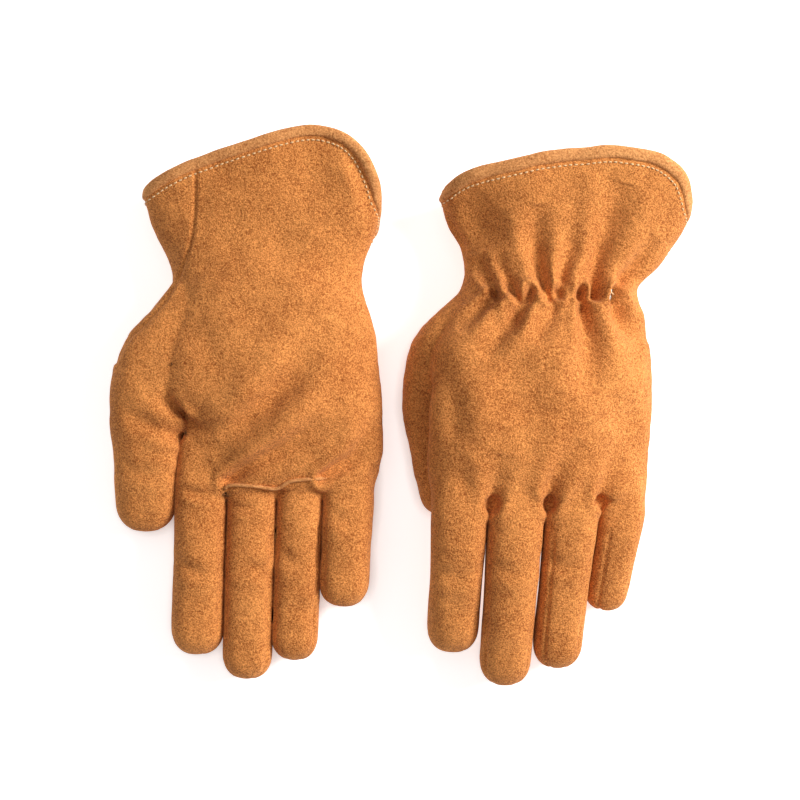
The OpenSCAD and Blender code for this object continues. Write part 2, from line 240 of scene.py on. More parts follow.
@dataclass(frozen=True)
class Stall:
    """One finger or thumb of a glove, in millimetres.

    The base is the centre at the hinge plane and the tip is the far end of the leather.
    """

    name: str
    base: tuple
    tip: tuple
    radius: float
    taper: float = 0.93
    flat: float = 0.96
    root: tuple = ()
    arch: float = 0.0

    def route(self) -> tuple:
        """Work out the stall's centre line.

        Returns:
            The points and their radii.
        """
        base, tip = np.array(self.base), np.array(self.tip)
        tip_r = self.radius * self.taper
        way = unit(tip - base)
        end = tip - way * tip_r
        t = np.linspace(0, 1, 12)
        body = base + (end - base) * t[:, None]
        body[:, 2] += self.arch * np.sin(math.pi * t)
        radii = self.radius + (tip_r - self.radius) * t
        radii *= 1 - 0.02 * np.exp(-(((t - 0.55) / 0.24) ** 2))
        if self.root:
            knots = [r[:3] for r in self.root] + [self.base]
            wide = [[r[3]] for r in self.root] + [[self.radius]]
            s = np.linspace(0, 1, 14)[:-1]
            body = np.vstack([spline(knots, s), body])
            radii = np.concatenate([spline(wide, s)[:, 0], radii])
        return body, radii

    def shell(self) -> tuple:
        """Return the points and faces of the stall's closed form, inset for the skin."""
        path, radii = self.route()
        return limb(path, radii - INSET, self.flat, 2.6)

    def around(self, points: np.ndarray, palm_up: float) -> tuple:
        """Find where points lie around the stall.

        Args:
            points: Points, one row each.
            palm_up: 1 where the palm looks up, -1 where it looks down.

        Returns:
            Angle in degrees, 0 on the little-finger side and 90 over the palm, the distance
            along the stall from its hinge plane, and the distance from its centre line.
        """
        base, tip = np.array(self.base), np.array(self.tip)
        way = unit(tip - base)
        along = (points - base) @ way
        t = np.clip(along / np.linalg.norm(tip - base), 0, 1)
        centre = base + along[:, None] * way
        centre[:, 2] += self.arch * np.sin(math.pi * t)
        off = points - centre
        across = unit(np.cross(way, np.array([0.0, 0.0, 1.0])))
        over = np.cross(across, way)
        x = off @ across
        z = off @ over * palm_up
        x = -x if across[0] < 0 else x
        return np.degrees(np.arctan2(z, x)) % 360, along, np.hypot(x, z)


@dataclass(frozen=True)
class Fold:
    """A valley pressed into the leather along a route as seen from above.

    The fold is deepest at the start and dies out towards the end, or at both ends if fade is 0.
    """

    route: tuple
    depth: float
    width: float
    spread: float = 0.0
    fade: float = 0.8

    def push(self, xy: np.ndarray) -> np.ndarray:
        """Return how deep the fold is at each point.

        Args:
            xy: Points as seen from above, in millimetres.

        Returns:
            Depths, negative in the valley.
        """
        line = spline(self.route, np.linspace(0, 1, 8 * len(self.route)))
        gap, t = nearest_on_route(xy, line)
        wide = self.width + self.spread * t
        valley = np.exp(-((gap / wide) ** 2))
        lip = np.exp(-(((gap - 1.9 * wide) / wide) ** 2))
        if self.fade > 0:
            strength = (1 - t) ** self.fade
        else:
            strength = np.sin(math.pi * np.clip(t, 0.02, 0.98)) ** 0.6
        return self.depth * strength * (0.5 * lip - valley)


@dataclass
class Pattern:
    """The cut and the lie of one glove, in millimetres, as seen from above.

    Sections hold the thumb-side x, the little-finger-side x, the heights of the two side seams,
    of the upper sheet and of the lower one. upper runs from the thumb line to the cuff mouth and
    lower from the thumb line to the fingers, both at even steps. turned says by how many degrees
    each finger's back seam is rolled towards the back of the hand.
    """

    side: Side
    palm_up: float
    thumb_y: float
    crotch_y: float
    upper: list
    lower: list
    top_mouth: list
    under_mouth: list
    fingers: list
    thumb: Stall
    thumb_plane: float
    folds: list
    under_folds: list
    wrist_y: float
    wrist_x: tuple
    welt: list
    hem_half: float
    turned: tuple = (0, 0, 0, 0)
    seam: list = field(default_factory=list)
    thumb_edge: list = field(default_factory=list)

    def rows(self) -> list:
        """Lay out the rings of the hand's form from the fingers to past the cuff mouth.

        Returns:
            One ring of points per row.
        """
        u = (1 - np.cos(np.linspace(0, math.pi, 29))) / 2
        rings = []
        for v in np.linspace(1, 0, 17)[:-1]:
            section = spline(self.lower, np.array([v]))[0]
            y = np.full_like(u, self.thumb_y + (self.crotch_y - self.thumb_y) * v)
            x = section[0] + (section[1] - section[0]) * u
            rings.append(self.ring(section, u, x, y, x, y))
        top, under = spline(self.top_mouth, u), spline(self.under_mouth, u)
        for v in np.linspace(0, 1.05, 24):
            section = spline(self.upper, np.array([v]))[0]
            k = ease(np.array([(v - 0.55) / 0.45]))[0]
            plain = section[0] + (section[1] - section[0]) * u
            lines = [(plain + (m[:, 0] - plain) * k, self.thumb_y + (m[:, 1] - self.thumb_y) * v)
                     for m in (top, under)]
            rings.append(self.ring(section, u, *lines[0], *lines[1]))
        return rings

    def ring(
        self,
        section: np.ndarray,
        u: np.ndarray,
        x_top: np.ndarray,
        y_top: np.ndarray,
        x_under: np.ndarray,
        y_under: np.ndarray,
    ) -> np.ndarray:
        """Close one section of the hand, inset for the skin.

        Args:
            section: Section values as in upper.
            u: Shares of the way across.
            x_top: Places across of the upper sheet.
            y_top: Places along of the upper sheet.
            x_under: Places across of the lower sheet.
            y_under: Places along of the lower sheet.

        Returns:
            Points once around, over the top and back beneath.
        """
        seam = section[2] + (section[3] - section[2]) * u
        middle = (section[2] + section[3]) / 2
        draw = INSET * (1 - 2 * u)
        high = seam + (section[4] - middle - INSET) * bow(u)
        low = seam - (middle - section[5] - INSET) * bow(u)
        over = np.column_stack([x_top + draw, y_top, high])
        beneath = np.column_stack([x_under + draw, y_under, low])
        return np.vstack([over, beneath[-2:0:-1]])

    def seam_height(self, points: np.ndarray) -> np.ndarray:
        """Find the height of the side seams level with each point.

        Args:
            points: Points, one row each.

        Returns:
            One height per point.
        """
        v_up = (points[:, 1] - self.thumb_y) / (105 - self.thumb_y)
        v_low = (self.thumb_y - points[:, 1]) / (self.thumb_y - self.crotch_y)
        up, low = spline(self.upper, v_up), spline(self.lower, v_low)
        section = np.where((points[:, 1] > self.thumb_y)[:, None], up, low)
        u = np.clip((points[:, 0] - section[:, 0]) / (section[:, 1] - section[:, 0]), 0, 1)
        return section[:, 2] + (section[:, 3] - section[:, 2]) * u

    def past_mouth(self, points: np.ndarray, margin: float) -> np.ndarray:
        """Find the points that lie beyond the cuff mouth.

        Args:
            points: Points, one row each.
            margin: How far inside the mouth a point already counts as beyond it.

        Returns:
            True for each point beyond.
        """
        u = np.linspace(0, 1, 200)
        top, under = spline(self.top_mouth, u), spline(self.under_mouth, u)
        limit = np.where(
            points[:, 2] > self.seam_height(points),
            np.interp(points[:, 0], top[:, 0], top[:, 1]),
            np.interp(points[:, 0], under[:, 0], under[:, 1]),
        )
        return points[:, 1] > limit - margin


def finger_stalls(
    bases: list, y: float, heights: list, radii: list, drifts: list, lengths: list, arch: float, taper: float
) -> list:
    """Lay out a glove's four fingers.

    Args:
        bases: x of each finger at the hinge plane.
        y: The hinge plane.
        heights: z of each finger's centre there.
        radii: Radius of each finger there.
        drifts: Sideways drift of each tip.
        lengths: Distance of each tip past the hinge plane.
        arch: How far the middle of a finger bows up.
        taper: Share of the radius that is left at a tip.

    Returns:
        Four stalls, from the index to the little finger.
    """
    stalls = []
    for k, finger in enumerate(Finger):
        r = radii[k]
        root = ((bases[k], y + 30, heights[k] + 1.0, r - 2.5), (bases[k], y + 14, heights[k] + 0.5, r - 0.4))
        stalls.append(
            Stall(
                finger.name.lower(),
                (bases[k], y, heights[k]),
                (bases[k] + drifts[k], y - lengths[k], taper * r + 0.2),
                r,
                taper,
                root=root,
                arch=arch,
            )
        )
    return stalls


RIGHT_PATTERN = Pattern(
    side=Side.RIGHT,
    palm_up=1.0,
    thumb_y=8.0,
    crotch_y=-36.0,
    upper=[
        [-118, -8.8, 12, 13, 36, 0.3],
        [-116, -10.5, 13, 13, 36, 0.3],
        [-107.2, -13.5, 14, 14, 34, 0.3],
        [-105.6, -17.7, 14, 14, 31, 0.3],
        [-109, -17, 15, 15, 33, 0.3],
        [-118, -11, 17, 17, 36, 3.2],
    ],
    lower=[
        [-118, -8.8, 12, 13, 36, 0.3],
        [-101.5, -8.8, 12, 12.5, 34.5, 0.3],
        [-99.2, -8.9, 12, 12, 31, 0.3],
        [-100.8, -9.8, 12, 11.5, 27, 0.3],
        [-103.4, -11.6, 12, 11, 23.8, 0.3],
    ],
    top_mouth=[
        [-118, 101], [-105, 109.5], [-88, 116], [-70, 122], [-52, 127],
        [-36, 129.1], [-21, 122.5], [-12.5, 108], [-11, 93],
    ],
    under_mouth=[
        [-118, 101], [-103, 107], [-87, 110.5], [-70, 111], [-52, 108],
        [-36, 98], [-23, 86], [-13.5, 83], [-11, 93],
    ],
    fingers=finger_stalls(
        [-92.4, -68.8, -46.6, -24.1], -44, [11.8, 11.4, 10.8, 11.6], [12.4, 11.8, 11.1, 12],
        [-1.8, -2.6, -3.0, -2.4], [70.3, 81.7, 73, 48], 1.2, 0.985,
    ),
    thumb=Stall(
        "thumb", (-116.6, 1, 13.9), (-118.6, -57.5, 11.2), 17.6, 0.81, 0.76,
        root=((-90, 62, 16, 10), (-99, 42, 17, 14.5), (-110, 24, 15.6, 18), (-114.8, 12, 14.6, 18)),
        arch=0.8,
    ),
    thumb_plane=-3.0,
    thumb_edge=[[-105.6, -60], [-104.4, -46], [-102.7, -35], [-101.2, -19], [-98.9, -8], [-98.6, -2]],
    folds=[
        Fold(
            ((-84, -15), (-74, -8.5), (-67, -3.7), (-55.6, 6.3), (-46.5, 16.3), (-40, 29)),
            4.6, 5.0, 2.6, 0,
        ),
        Fold(
            ((-79.5, -33.5), (-75, -30.5), (-65.6, -24.6), (-52, -17.3), (-40, -8.3), (-27, 4)),
            3.6, 2.6, 4.6, 0.4,
        ),
        Fold(((-35.5, -31.5), (-28, -26.5), (-21.5, -22.5), (-15, -12), (-12, -2)), 3.4, 2.4, 2.6, 0.5),
        Fold(((-98.5, -3.5), (-93, -8.5), (-87, -8.4), (-79, -3)), 2.0, 2.0, 1.8, 0.7),
        Fold(((-99.5, -1.5), (-105, 2), (-111, 7)), 2.4, 2.0, 2.0, 0.8),
        Fold(((-103, -12.5), (-112, -9.5), (-121, -4), (-128, 3)), 2.0, 2.6, 2.0, 0.7),
        Fold(((-104, -29), (-115, -30), (-127, -27)), 0.8, 2.6, 1.0, 0),
        Fold(((-100, -37), (-92, -39.5), (-84, -38.5)), 1.3, 2.0, 0.5, 0),
        Fold(((-102, -70), (-92, -75), (-84, -73)), 1.1, 2.6, 1.0, 0),
        Fold(((-80, -45), (-69, -46), (-60, -43)), 1.0, 1.8, 0.5, 0),
        Fold(((-79, -76), (-69, -73), (-61, -75)), 1.2, 2.6, 1.0, 0),
        Fold(((-56, -66), (-48, -71), (-39, -68)), 1.0, 3.0, 1.0, 0),
        Fold(((-54, -95), (-46, -92), (-38, -97)), 0.9, 3.0, 1.0, 0),
        Fold(((-33, -48), (-24, -52), (-15, -49)), 0.9, 3.0, 1.0, 0),
        Fold(((-60, 78), (-46, 68), (-30, 66)), 1.5, 8.0, 0.0, 0),
        Fold(((-96, 40), (-86, 26), (-84, 10)), 1.6, 8.0, 0.0, 0),
        Fold(((-24, 118), (-17, 104), (-14, 88)), 1.8, 3.4, 0.0, 0),
    ],
    under_folds=[
        Fold(((-88, 52), (-94, 76)), 2.0, 2.2, 2.0),
        Fold(((-72, 54), (-74, 84)), 2.2, 2.2, 2.4),
        Fold(((-56, 54), (-54, 80)), 2.0, 2.2, 2.4),
        Fold(((-40, 53), (-36, 82)), 2.2, 2.2, 2.4),
        Fold(((-80, 48), (-84, 22)), 2.0, 2.2, 2.4),
        Fold(((-62, 48), (-62, 14)), 2.2, 2.2, 3.0),
        Fold(((-44, 48), (-40, 20)), 2.0, 2.2, 2.4),
    ],
    wrist_y=50.0,
    wrist_x=(-98.0, -26.0),
    welt=[[-80.8, -37.3], [-78, -35.3], [-67, -35.5], [-57, -36.8], [-51, -33.6], [-43, -32.4], [-34, -32]],
    hem_half=2.6,
    seam=[
        [-93.2, 110], [-93.6, 96], [-94.4, 84], [-96.4, 74], [-100.5, 63],
        [-106.5, 51], [-115, 41], [-124, 32], [-130.5, 21],
    ],
)

LEFT_PATTERN = Pattern(
    side=Side.LEFT,
    palm_up=-1.0,
    thumb_y=6.0,
    crotch_y=-40.0,
    upper=[
        [12.5, 116.6, 31, 15, 45, 2],
        [14, 115.8, 27, 16, 43, 1.5],
        [21, 112.5, 21, 16, 37, 2],
        [29, 109.5, 18, 18, 34.5, 2],
        [29, 118.5, 19, 19, 38, 2],
        [17.5, 131.6, 22, 22, 42, 4.2],
    ],
    lower=[
        [12.5, 116.6, 31, 15, 45, 2],
        [12.5, 115, 30, 16, 44, 6],
        [14.3, 113, 28, 18, 38, 10.5],
    ],
    top_mouth=[
        [17.5, 101], [31, 108.5], [47, 112.5], [64, 116], [82, 118],
        [100, 118.7], [117, 115.5], [128.3, 107], [131.6, 93],
    ],
    under_mouth=[
        [17.5, 101], [33, 103.5], [50, 104.5], [68, 102.5], [86, 97],
        [103, 86.5], [116, 75.5], [126.3, 81], [131.6, 93],
    ],
    fingers=finger_stalls(
        [26.8, 52.8, 78.2, 101.5], -48, [28, 26.5, 23.5, 18.5], [12.9, 12.9, 12.3, 11],
        [-3.2, -5.0, -6.6, -7.8], [64.5, 80, 72.3, 45.4], 1.5, 0.94,
    ),
    thumb=Stall(
        "thumb", (11.4, 1, 11.3), (20.5, -49, 10.4), 10.6, 0.95, 0.96,
        root=((46, 58, 18, 11), (34, 44, 18, 13), (19.5, 27, 16.5, 14.6), (13.6, 12, 13, 12.6)),
    ),
    thumb_plane=-6.0,
    folds=[
        Fold(((44.5, 50), (40.5, 58), (34, 69)), 3.4, 1.8, 1.6, 0.5),
        Fold(((53, 49.5), (49, 57), (43, 69)), 3.4, 1.8, 1.8, 0.5),
        Fold(((66.5, 50), (63.5, 61), (61, 76), (62, 92)), 4.2, 2.0, 4.0, 0.4),
        Fold(((72, 50.5), (73.5, 62), (79, 76)), 2.8, 1.7, 2.0, 0.5),
        Fold(((80, 50.5), (82.5, 60), (84, 70)), 2.2, 1.5, 1.6, 0.6),
        Fold(((88, 51), (89, 64), (94, 82), (100, 102)), 4.8, 2.2, 5.2, 0.4),
        Fold(((96.5, 50), (101, 58), (109, 68), (116, 78)), 3.4, 1.8, 2.2, 0.5),
        Fold(((42, 52), (34, 43), (26, 34)), 3.0, 1.8, 1.8, 0.6),
        Fold(((59, 53), (53.5, 44), (46, 35), (35, 24)), 4.2, 2.0, 3.4, 0.45),
        Fold(((70, 53), (67, 42), (61, 28)), 3.2, 1.8, 2.6, 0.5),
        Fold(((82, 53), (83.5, 40), (85.5, 26), (84, 6)), 4.6, 1.9, 5.4, 0.4),
        Fold(((97, 53), (99.5, 43), (105, 34), (111, 27)), 4.4, 2.2, 3.8, 0.5),
        Fold(((43.5, 48.5), (37, 44)), 2.0, 1.6, 1.0, 0.8),
        Fold(((41.5, -44), (43, -32), (46, -20)), 3.0, 2.8, 3.6, 0.6),
        Fold(((67.5, -44), (69, -34), (75, -23), (82, -15)), 3.4, 2.6, 3.4, 0.6),
        Fold(((91, -42), (94, -34), (101, -22)), 3.0, 2.6, 3.0, 0.6),
        Fold(((40, 30), (52, 12), (58, -8)), 1.6, 9.0, 0.0, 0),
        Fold(((94, 10), (102, -8), (104, -24)), 1.4, 7.0, 0.0, 0),
        Fold(((24, 98), (31, 84), (36, 70)), 5.0, 15.0, 0.0, 0),
        Fold(((18, 20), (24, 4), (24, -16)), 1.3, 6.0, 0.0, 0),
        Fold(((16, -74), (25, -77), (33, -73)), 0.8, 3.0, 1.0, 0),
        Fold(((41, -70), (51, -74), (61, -69)), 0.9, 3.0, 1.0, 0),
        Fold(((66, -68), (75, -72), (84, -68)), 0.9, 3.0, 1.0, 0),
    ],
    under_folds=[
        Fold(((60, -30), (90, 5)), 2.0, 4.0, 0, 0),
        Fold(((40, -28), (66, 6)), 1.8, 4.0, 0, 0),
    ],
    wrist_y=50.5,
    turned=(0, 0, 18, 32),
    wrist_x=(37.0, 110.0),
    welt=[[40, -41], [43, -38.8], [53, -39], [64, -40], [70, -37.4], [79, -36.6], [90, -36.4]],
    hem_half=3.0,
)


def neighbours(mesh: bpy.types.Mesh) -> np.ndarray:
    """Read a mesh's edges.

    Args:
        mesh: The mesh.

    Returns:
        One row of two point numbers per edge.
    """
    edges = np.empty(len(mesh.edges) * 2, int)
    mesh.edges.foreach_get("vertices", edges)
    return edges.reshape(-1, 2)


def relax(points: np.ndarray, edges: np.ndarray, amount: float) -> np.ndarray:
    """Move each point part of the way to the middle of its neighbours.

    Args:
        points: Points, one row each.
        edges: Pairs of point numbers.
        amount: Share of the way; below 0 moves away, to keep the volume.

    Returns:
        The moved points.
    """
    count = np.bincount(edges.ravel(), minlength=len(points)).astype(float)
    total = np.zeros_like(points)
    for axis in range(3):
        total[:, axis] = np.bincount(edges[:, 0], points[edges[:, 1], axis], len(points))
        total[:, axis] += np.bincount(edges[:, 1], points[edges[:, 0], axis], len(points))
    return points + amount * (total / np.maximum(count, 1)[:, None] - points)


def read_points(mesh: bpy.types.Mesh) -> np.ndarray:
    """Read a mesh's points.

    Args:
        mesh: The mesh.

    Returns:
        Points in millimetres.
    """
    flat = np.empty(len(mesh.vertices) * 3)
    mesh.vertices.foreach_get("co", flat)
    return flat.reshape(-1, 3) / MM


def write_points(mesh: bpy.types.Mesh, points: np.ndarray) -> None:
    """Set a mesh's points from millimetres."""
    mesh.vertices.foreach_set("co", (points * MM).ravel())
    mesh.update()


def read_normals(mesh: bpy.types.Mesh) -> np.ndarray:
    """Read the direction out of a mesh at each point.

    Args:
        mesh: The mesh.

    Returns:
        One unit row per point.
    """
    flat = np.empty(len(mesh.vertices) * 3)
    mesh.vertex_normals.foreach_get("vector", flat)
    return flat.reshape(-1, 3)


def with_modifier(obj: bpy.types.Object, kind: str, **values: object) -> None:
    """Apply one modifier to an object's mesh.

    Args:
        obj: The object.
        kind: Blender's name for the modifier.
        values: The modifier's settings.
    """
    modifier = obj.modifiers.new(kind, kind)
    for key, value in values.items():
        setattr(modifier, key, value)
    graph = bpy.context.evaluated_depsgraph_get()
    mesh = bpy.data.meshes.new_from_object(obj.evaluated_get(graph))
    old = obj.data
    obj.modifiers.clear()
    obj.data = mesh
    bpy.data.meshes.remove(old)


def waves(points: np.ndarray, size: float, seed: float) -> np.ndarray:
    """Return soft random waves over points.

    Args:
        points: Points in millimetres.
        size: Length of a wave.
        seed: Shift that makes each use different.

    Returns:
        One value per point, about -1 to 1.
    """
    scaled = points / size + seed
    return np.array([noise.noise(Vector(p)) for p in scaled])


class SkinBuilder:
    """Grows one glove's leather skin from its form, creases it and cuts it into panels."""

    def __init__(self, pattern: Pattern, finishes: dict) -> None:
        """Keep the pattern and the finishes.

        Args:
            pattern: The glove's cut.
            finishes: Materials by slot name.
        """
        self.pattern = pattern
        self.finishes = finishes
        self.points = np.zeros((0, 3))
        self.normals = np.zeros((0, 3))
        self.faces = np.zeros((0, 4), int)
        self.rim = np.zeros(0, int)
        self.tree: BVHTree | None = None
        self.skin: bpy.types.Object | None = None

    def prefix(self, name: str) -> str:
        """Return a piece's full name."""
        return f"{self.pattern.side.value}_{name}"

    def grow(self) -> None:
        """Join the hand, finger and thumb forms into one skin, open at the cuff."""
        p = self.pattern
        verts, faces = [], []
        rings = p.rows()
        size = len(rings[0])
        verts.append(np.vstack(rings))
        faces += [
            [k * size + s, k * size + (s + 1) % size, (k + 1) * size + (s + 1) % size, (k + 1) * size + s]
            for k in range(len(rings) - 1) for s in range(size)
        ]
        faces.append(list(range(size))[::-1])
        faces.append(list(range((len(rings) - 1) * size, len(rings) * size)))
        start = len(verts[0])
        for v, f in [s.shell() for s in [*p.fingers, p.thumb]] + [self.web(k) for k in range(3)]:
            verts.append(v)
            faces += [[i + start for i in face] for face in f]
            start += len(v)
        obj = mesh_piece(self.prefix("skin"), np.vstack(verts), faces, [])
        self.face_outwards(obj.data)
        with_modifier(obj, "REMESH", mode="VOXEL", voxel_size=VOXEL * MM, use_smooth_shade=True)
        points, edges = read_points(obj.data), neighbours(obj.data)
        for _ in range(9):
            points = relax(points, edges, 0.5)
            points = relax(points, edges, -0.47)
        for _ in range(2):
            points = relax(points, edges, 0.5)
        write_points(obj.data, points)
        points = points + read_normals(obj.data) * INSET
        write_points(obj.data, points)
        self.open_cuff(obj.data)
        with_modifier(obj, "SUBSURF", levels=1, render_levels=1)
        self.skin = obj

    def web(self, number: int) -> tuple:
        """Make the form that closes the hand between two fingers.

        Args:
            number: Number of the finger on its thumb side.

        Returns:
            Points and faces.
        """
        p = self.pattern
        base = self.web_middle(number)
        ends = np.array([[base[0], p.crotch_y + 8, base[2] + 1], [base[0], p.crotch_y - 1.5, base[2]]])
        path = ends[0] + (ends[1] - ends[0]) * np.linspace(0, 1, 5)[:, None]
        return limb(path, np.full(5, 3.3), 1.7, 2.0)

    def web_middle(self, number: int) -> np.ndarray:
        """Find the middle between two neighbouring fingers at their hinge planes.

        Args:
            number: Number of the finger on the thumb side.

        Returns:
            The point.
        """
        a, b = self.pattern.fingers[number : number + 2]
        reach_a, reach_b = a.base[0] + a.radius, b.base[0] - b.radius
        return np.array([(reach_a + reach_b) / 2, a.base[1], (a.base[2] + b.base[2]) / 2])

    @staticmethod
    def face_outwards(mesh: bpy.types.Mesh) -> None:
        """Turn every face of a closed mesh outwards.

        Args:
            mesh: The mesh.
        """
        work = bmesh.new()
        work.from_mesh(mesh)
        bmesh.ops.recalc_face_normals(work, faces=work.faces)
        work.to_mesh(mesh)
        work.free()

    def open_cuff(self, mesh: bpy.types.Mesh) -> None:
        """Cut the cuff mouth and even out its edge.

        Args:
            mesh: The closed skin.
        """
        points = read_points(mesh)
        gone = self.pattern.past_mouth(points, self.pattern.hem_half * 1.2)
        work = bmesh.new()
        work.from_mesh(mesh)
        work.verts.ensure_lookup_table()
        bmesh.ops.delete(work, geom=[work.verts[i] for i in np.flatnonzero(gone)], context="VERTS")
        for _ in range(3):
            loose = [f for f in work.faces if sum(e.is_boundary for e in f.edges) >= 3]
            bmesh.ops.delete(work, geom=loose, context="FACES")
        groups = self.islands(work)
        for group in groups[1:]:
            bmesh.ops.delete(work, geom=group, context="VERTS")
        for _ in range(14):
            edge = [v for v in work.verts if v.is_boundary]
            moved = {}
            for v in edge:
                near = [e.other_vert(v).co for e in v.link_edges if e.is_boundary]
                if len(near) == 2:
                    moved[v] = v.co * 0.4 + (near[0] + near[1]) * 0.3
            for v, co in moved.items():
                v.co = co
        work.to_mesh(mesh)
        work.free()
        mesh.update()

    @staticmethod
    def islands(work: bmesh.types.BMesh) -> list:
        """Sort a mesh's points into connected groups.

        Args:
            work: The mesh being edited.

        Returns:
            The groups, the largest first.
        """
        seen, groups = set(), []
        for first in work.verts:
            if first in seen:
                continue
            group, stack = [], [first]
            seen.add(first)
            while stack:
                v = stack.pop()
                group.append(v)
                for e in v.link_edges:
                    other = e.other_vert(v)
                    if other not in seen:
                        seen.add(other)
                        stack.append(other)
            groups.append(group)
        return sorted(groups, key=len, reverse=True)

    def crease(self) -> None:
        """Press the folds, the gathers, the seams and the leather's own waves into the skin."""
        p = self.pattern
        mesh = self.skin.data
        points, normals = read_points(mesh), read_normals(mesh)
        seam_z = p.seam_height(points)
        above = ease((points[:, 2] - seam_z + 2) / 6)
        depth = (
            2.2 * waves(points, 34, 3.1)
            + 0.85 * waves(points, 13, 7.7)
            + 0.25 * waves(points, 5, 1.3)
        )
        depth *= 1 - 0.5 * ease((12 - points[:, 2]) / 12)
        fingers = ease((p.crotch_y + 8 - points[:, 1]) / 10)
        depth *= 1 - fingers * (1 - 0.15 - 0.6 * np.abs(normals[:, 2]))
        xy = points[:, :2]
        for fold in p.folds:
            depth += fold.push(xy) * above
        for fold in p.under_folds:
            depth += fold.push(xy) * (1 - above)
        depth += self.gathers(points) * (above if p.palm_up < 0 else 1 - above)
        depth += self.seam_grooves(points)
        points = points + normals * depth[:, None]
        points[:, 2] = np.maximum(points[:, 2], FLOOR_GAP)
        write_points(mesh, points)
        self.points, self.normals = points, read_normals(mesh)
        flat = np.empty(len(mesh.polygons) * 4, int)
        mesh.polygons.foreach_get("vertices", flat)
        self.faces = flat.reshape(-1, 4)
        self.tree = BVHTree.FromPolygons(points.tolist(), self.faces.tolist())

    def gathers(self, points: np.ndarray) -> np.ndarray:
        """Return the depth of the shirring that the wrist elastic draws up.

        Args:
            points: The skin's points.

        Returns:
            One depth per point, for the back of the hand.
        """
        p = self.pattern
        x, y = points[:, 0], points[:, 1]
        left, right = p.wrist_x
        held = ease((x - left) / 8) * ease((right - x) / 8)
        line = p.wrist_y + 1.2 * np.sin((x - left) / 17)
        gap = np.abs(y - line)
        trough = -0.7 * np.exp(-((gap / 2.4) ** 2))
        beat = np.cos(2 * math.pi * x / 5.6 + 1.7 * np.sin(x / 7.3))
        pleats = (0.4 * beat) * np.exp(-((gap / 6.0) ** 2))
        long_beat = np.cos(2 * math.pi * x / 11.5 + 1.3 * np.sin(x / 9.1) + 0.5)
        tails = 0.55 * long_beat * np.exp(-(((gap - 8) / 9) ** 2))
        return held * (trough + pleats + tails)

    def seam_grooves(self, points: np.ndarray) -> np.ndarray:
        """Return the depth of the pinched lines along the finger, thumb and side seams.

        Args:
            points: The skin's points.

        Returns:
            One depth per point, negative in a groove.
        """
        p = self.pattern
        depth = np.zeros(len(points))
        for number, stall in enumerate(p.fingers):
            angle, along, gap = stall.around(points, p.palm_up)
            on = (gap < stall.radius * 1.5) & (along > 4)
            front, back = self.finger_seams(number)
            for line in front + back:
                off = np.abs((angle - line + 180) % 360 - 180)
                across = np.radians(off) * gap
                depth -= np.where(on, 0.6 * np.exp(-((across / 0.9) ** 2)) * ease((along - 4) / 8), 0)
        angle, along, gap = p.thumb.around(points, p.palm_up)
        on = (gap < p.thumb.radius * 1.45) & (along > -8)
        for line in (0, 180):
            off = np.abs((angle - line + 180) % 360 - 180)
            across = np.radians(off) * gap
            depth -= np.where(on, 0.42 * np.exp(-((across / 0.85) ** 2)), 0)
        if p.seam:
            route = spline(p.seam, np.linspace(0, 1, 90))
            near = nearest_on_route(points[:, :2], route)[0]
            top = points[:, 2] > p.seam_height(points) - 1
            depth -= np.where(top, 0.9 * np.exp(-((near / 0.9) ** 2)), 0)
        return depth

    def finger_seams(self, number: int) -> tuple:
        """Find where a finger's front and its back start and end around it.

        Args:
            number: Number of the finger.

        Returns:
            Start and end angle of the front, and of the back, in degrees.
        """
        turned = self.pattern.turned[number]
        front, back = [35, 145], [215 + turned, 325]
        if number == Finger.INDEX.value:
            front[1] = back[0] = 180
        if number == Finger.LITTLE.value:
            front[0], back[1] = 0, 360
        return front, back

    def label(self) -> dict:
        """Sort the skin's faces into leather panels.

        Returns:
            Face numbers by panel name.
        """
        p = self.pattern
        centre = self.points[self.faces].mean(axis=1)
        facing = np.cross(
            self.points[self.faces[:, 2]] - self.points[self.faces[:, 0]],
            self.points[self.faces[:, 3]] - self.points[self.faces[:, 1]],
        )
        facing = unit(facing)
        rise = (centre[:, 2] - p.seam_height(centre)) * p.palm_up
        palm = rise > 0
        if p.seam:
            line = np.array(p.seam)
            order = np.argsort(line[:, 1])
            edge_x = np.interp(centre[:, 1], line[order, 1], line[order, 0])
            wrapped = (centre[:, 0] < edge_x) & (centre[:, 1] > line[:, 1].min())
            palm &= ~wrapped
        names = np.where(palm, "palm_panel", "back_panel").astype(object)
        measured = [stall.around(centre, p.palm_up) for stall in p.fingers]
        gaps = np.array([m[2] for m in measured])
        nearest = np.argmin(gaps, axis=0)
        fingers = centre[:, 1] < p.crotch_y - 2
        web = np.zeros(len(centre), bool)
        for number in range(3):
            middle = self.web_middle(number)
            off = np.abs(centre - middle)
            near = (off[:, 0] < WEB_HALF_WIDTH) & (off[:, 2] < WEB_HALF_HEIGHT)
            web |= near & (centre[:, 1] < p.crotch_y) & (centre[:, 1] > p.crotch_y - 8)
            web |= near & (centre[:, 1] < p.crotch_y + 5) & (facing[:, 1] < -0.6)
        t_angle, _, t_gap = p.thumb.around(centre, p.palm_up)
        thumb = (centre[:, 1] < p.thumb_plane) & (t_gap < p.thumb.radius * 1.35)
        if p.side is Side.RIGHT:
            edge = np.array(p.thumb_edge)
            thumb &= centre[:, 0] < np.interp(centre[:, 1], edge[:, 1], edge[:, 0])
        else:
            thumb &= (t_gap < gaps.min(axis=0)) & (centre[:, 2] < 23.5)
        fingers &= ~thumb
        for number, stall in enumerate(p.fingers):
            mine = fingers & (nearest == number)
            angle = measured[number][0]
            strips = "fourchettes" if number in (1, 2) else "fourchette"
            front, back = self.finger_seams(number)
            names[mine] = f"{stall.name}_{strips}"
            names[mine & (angle >= front[0]) & (angle < front[1])] = f"{stall.name}_front"
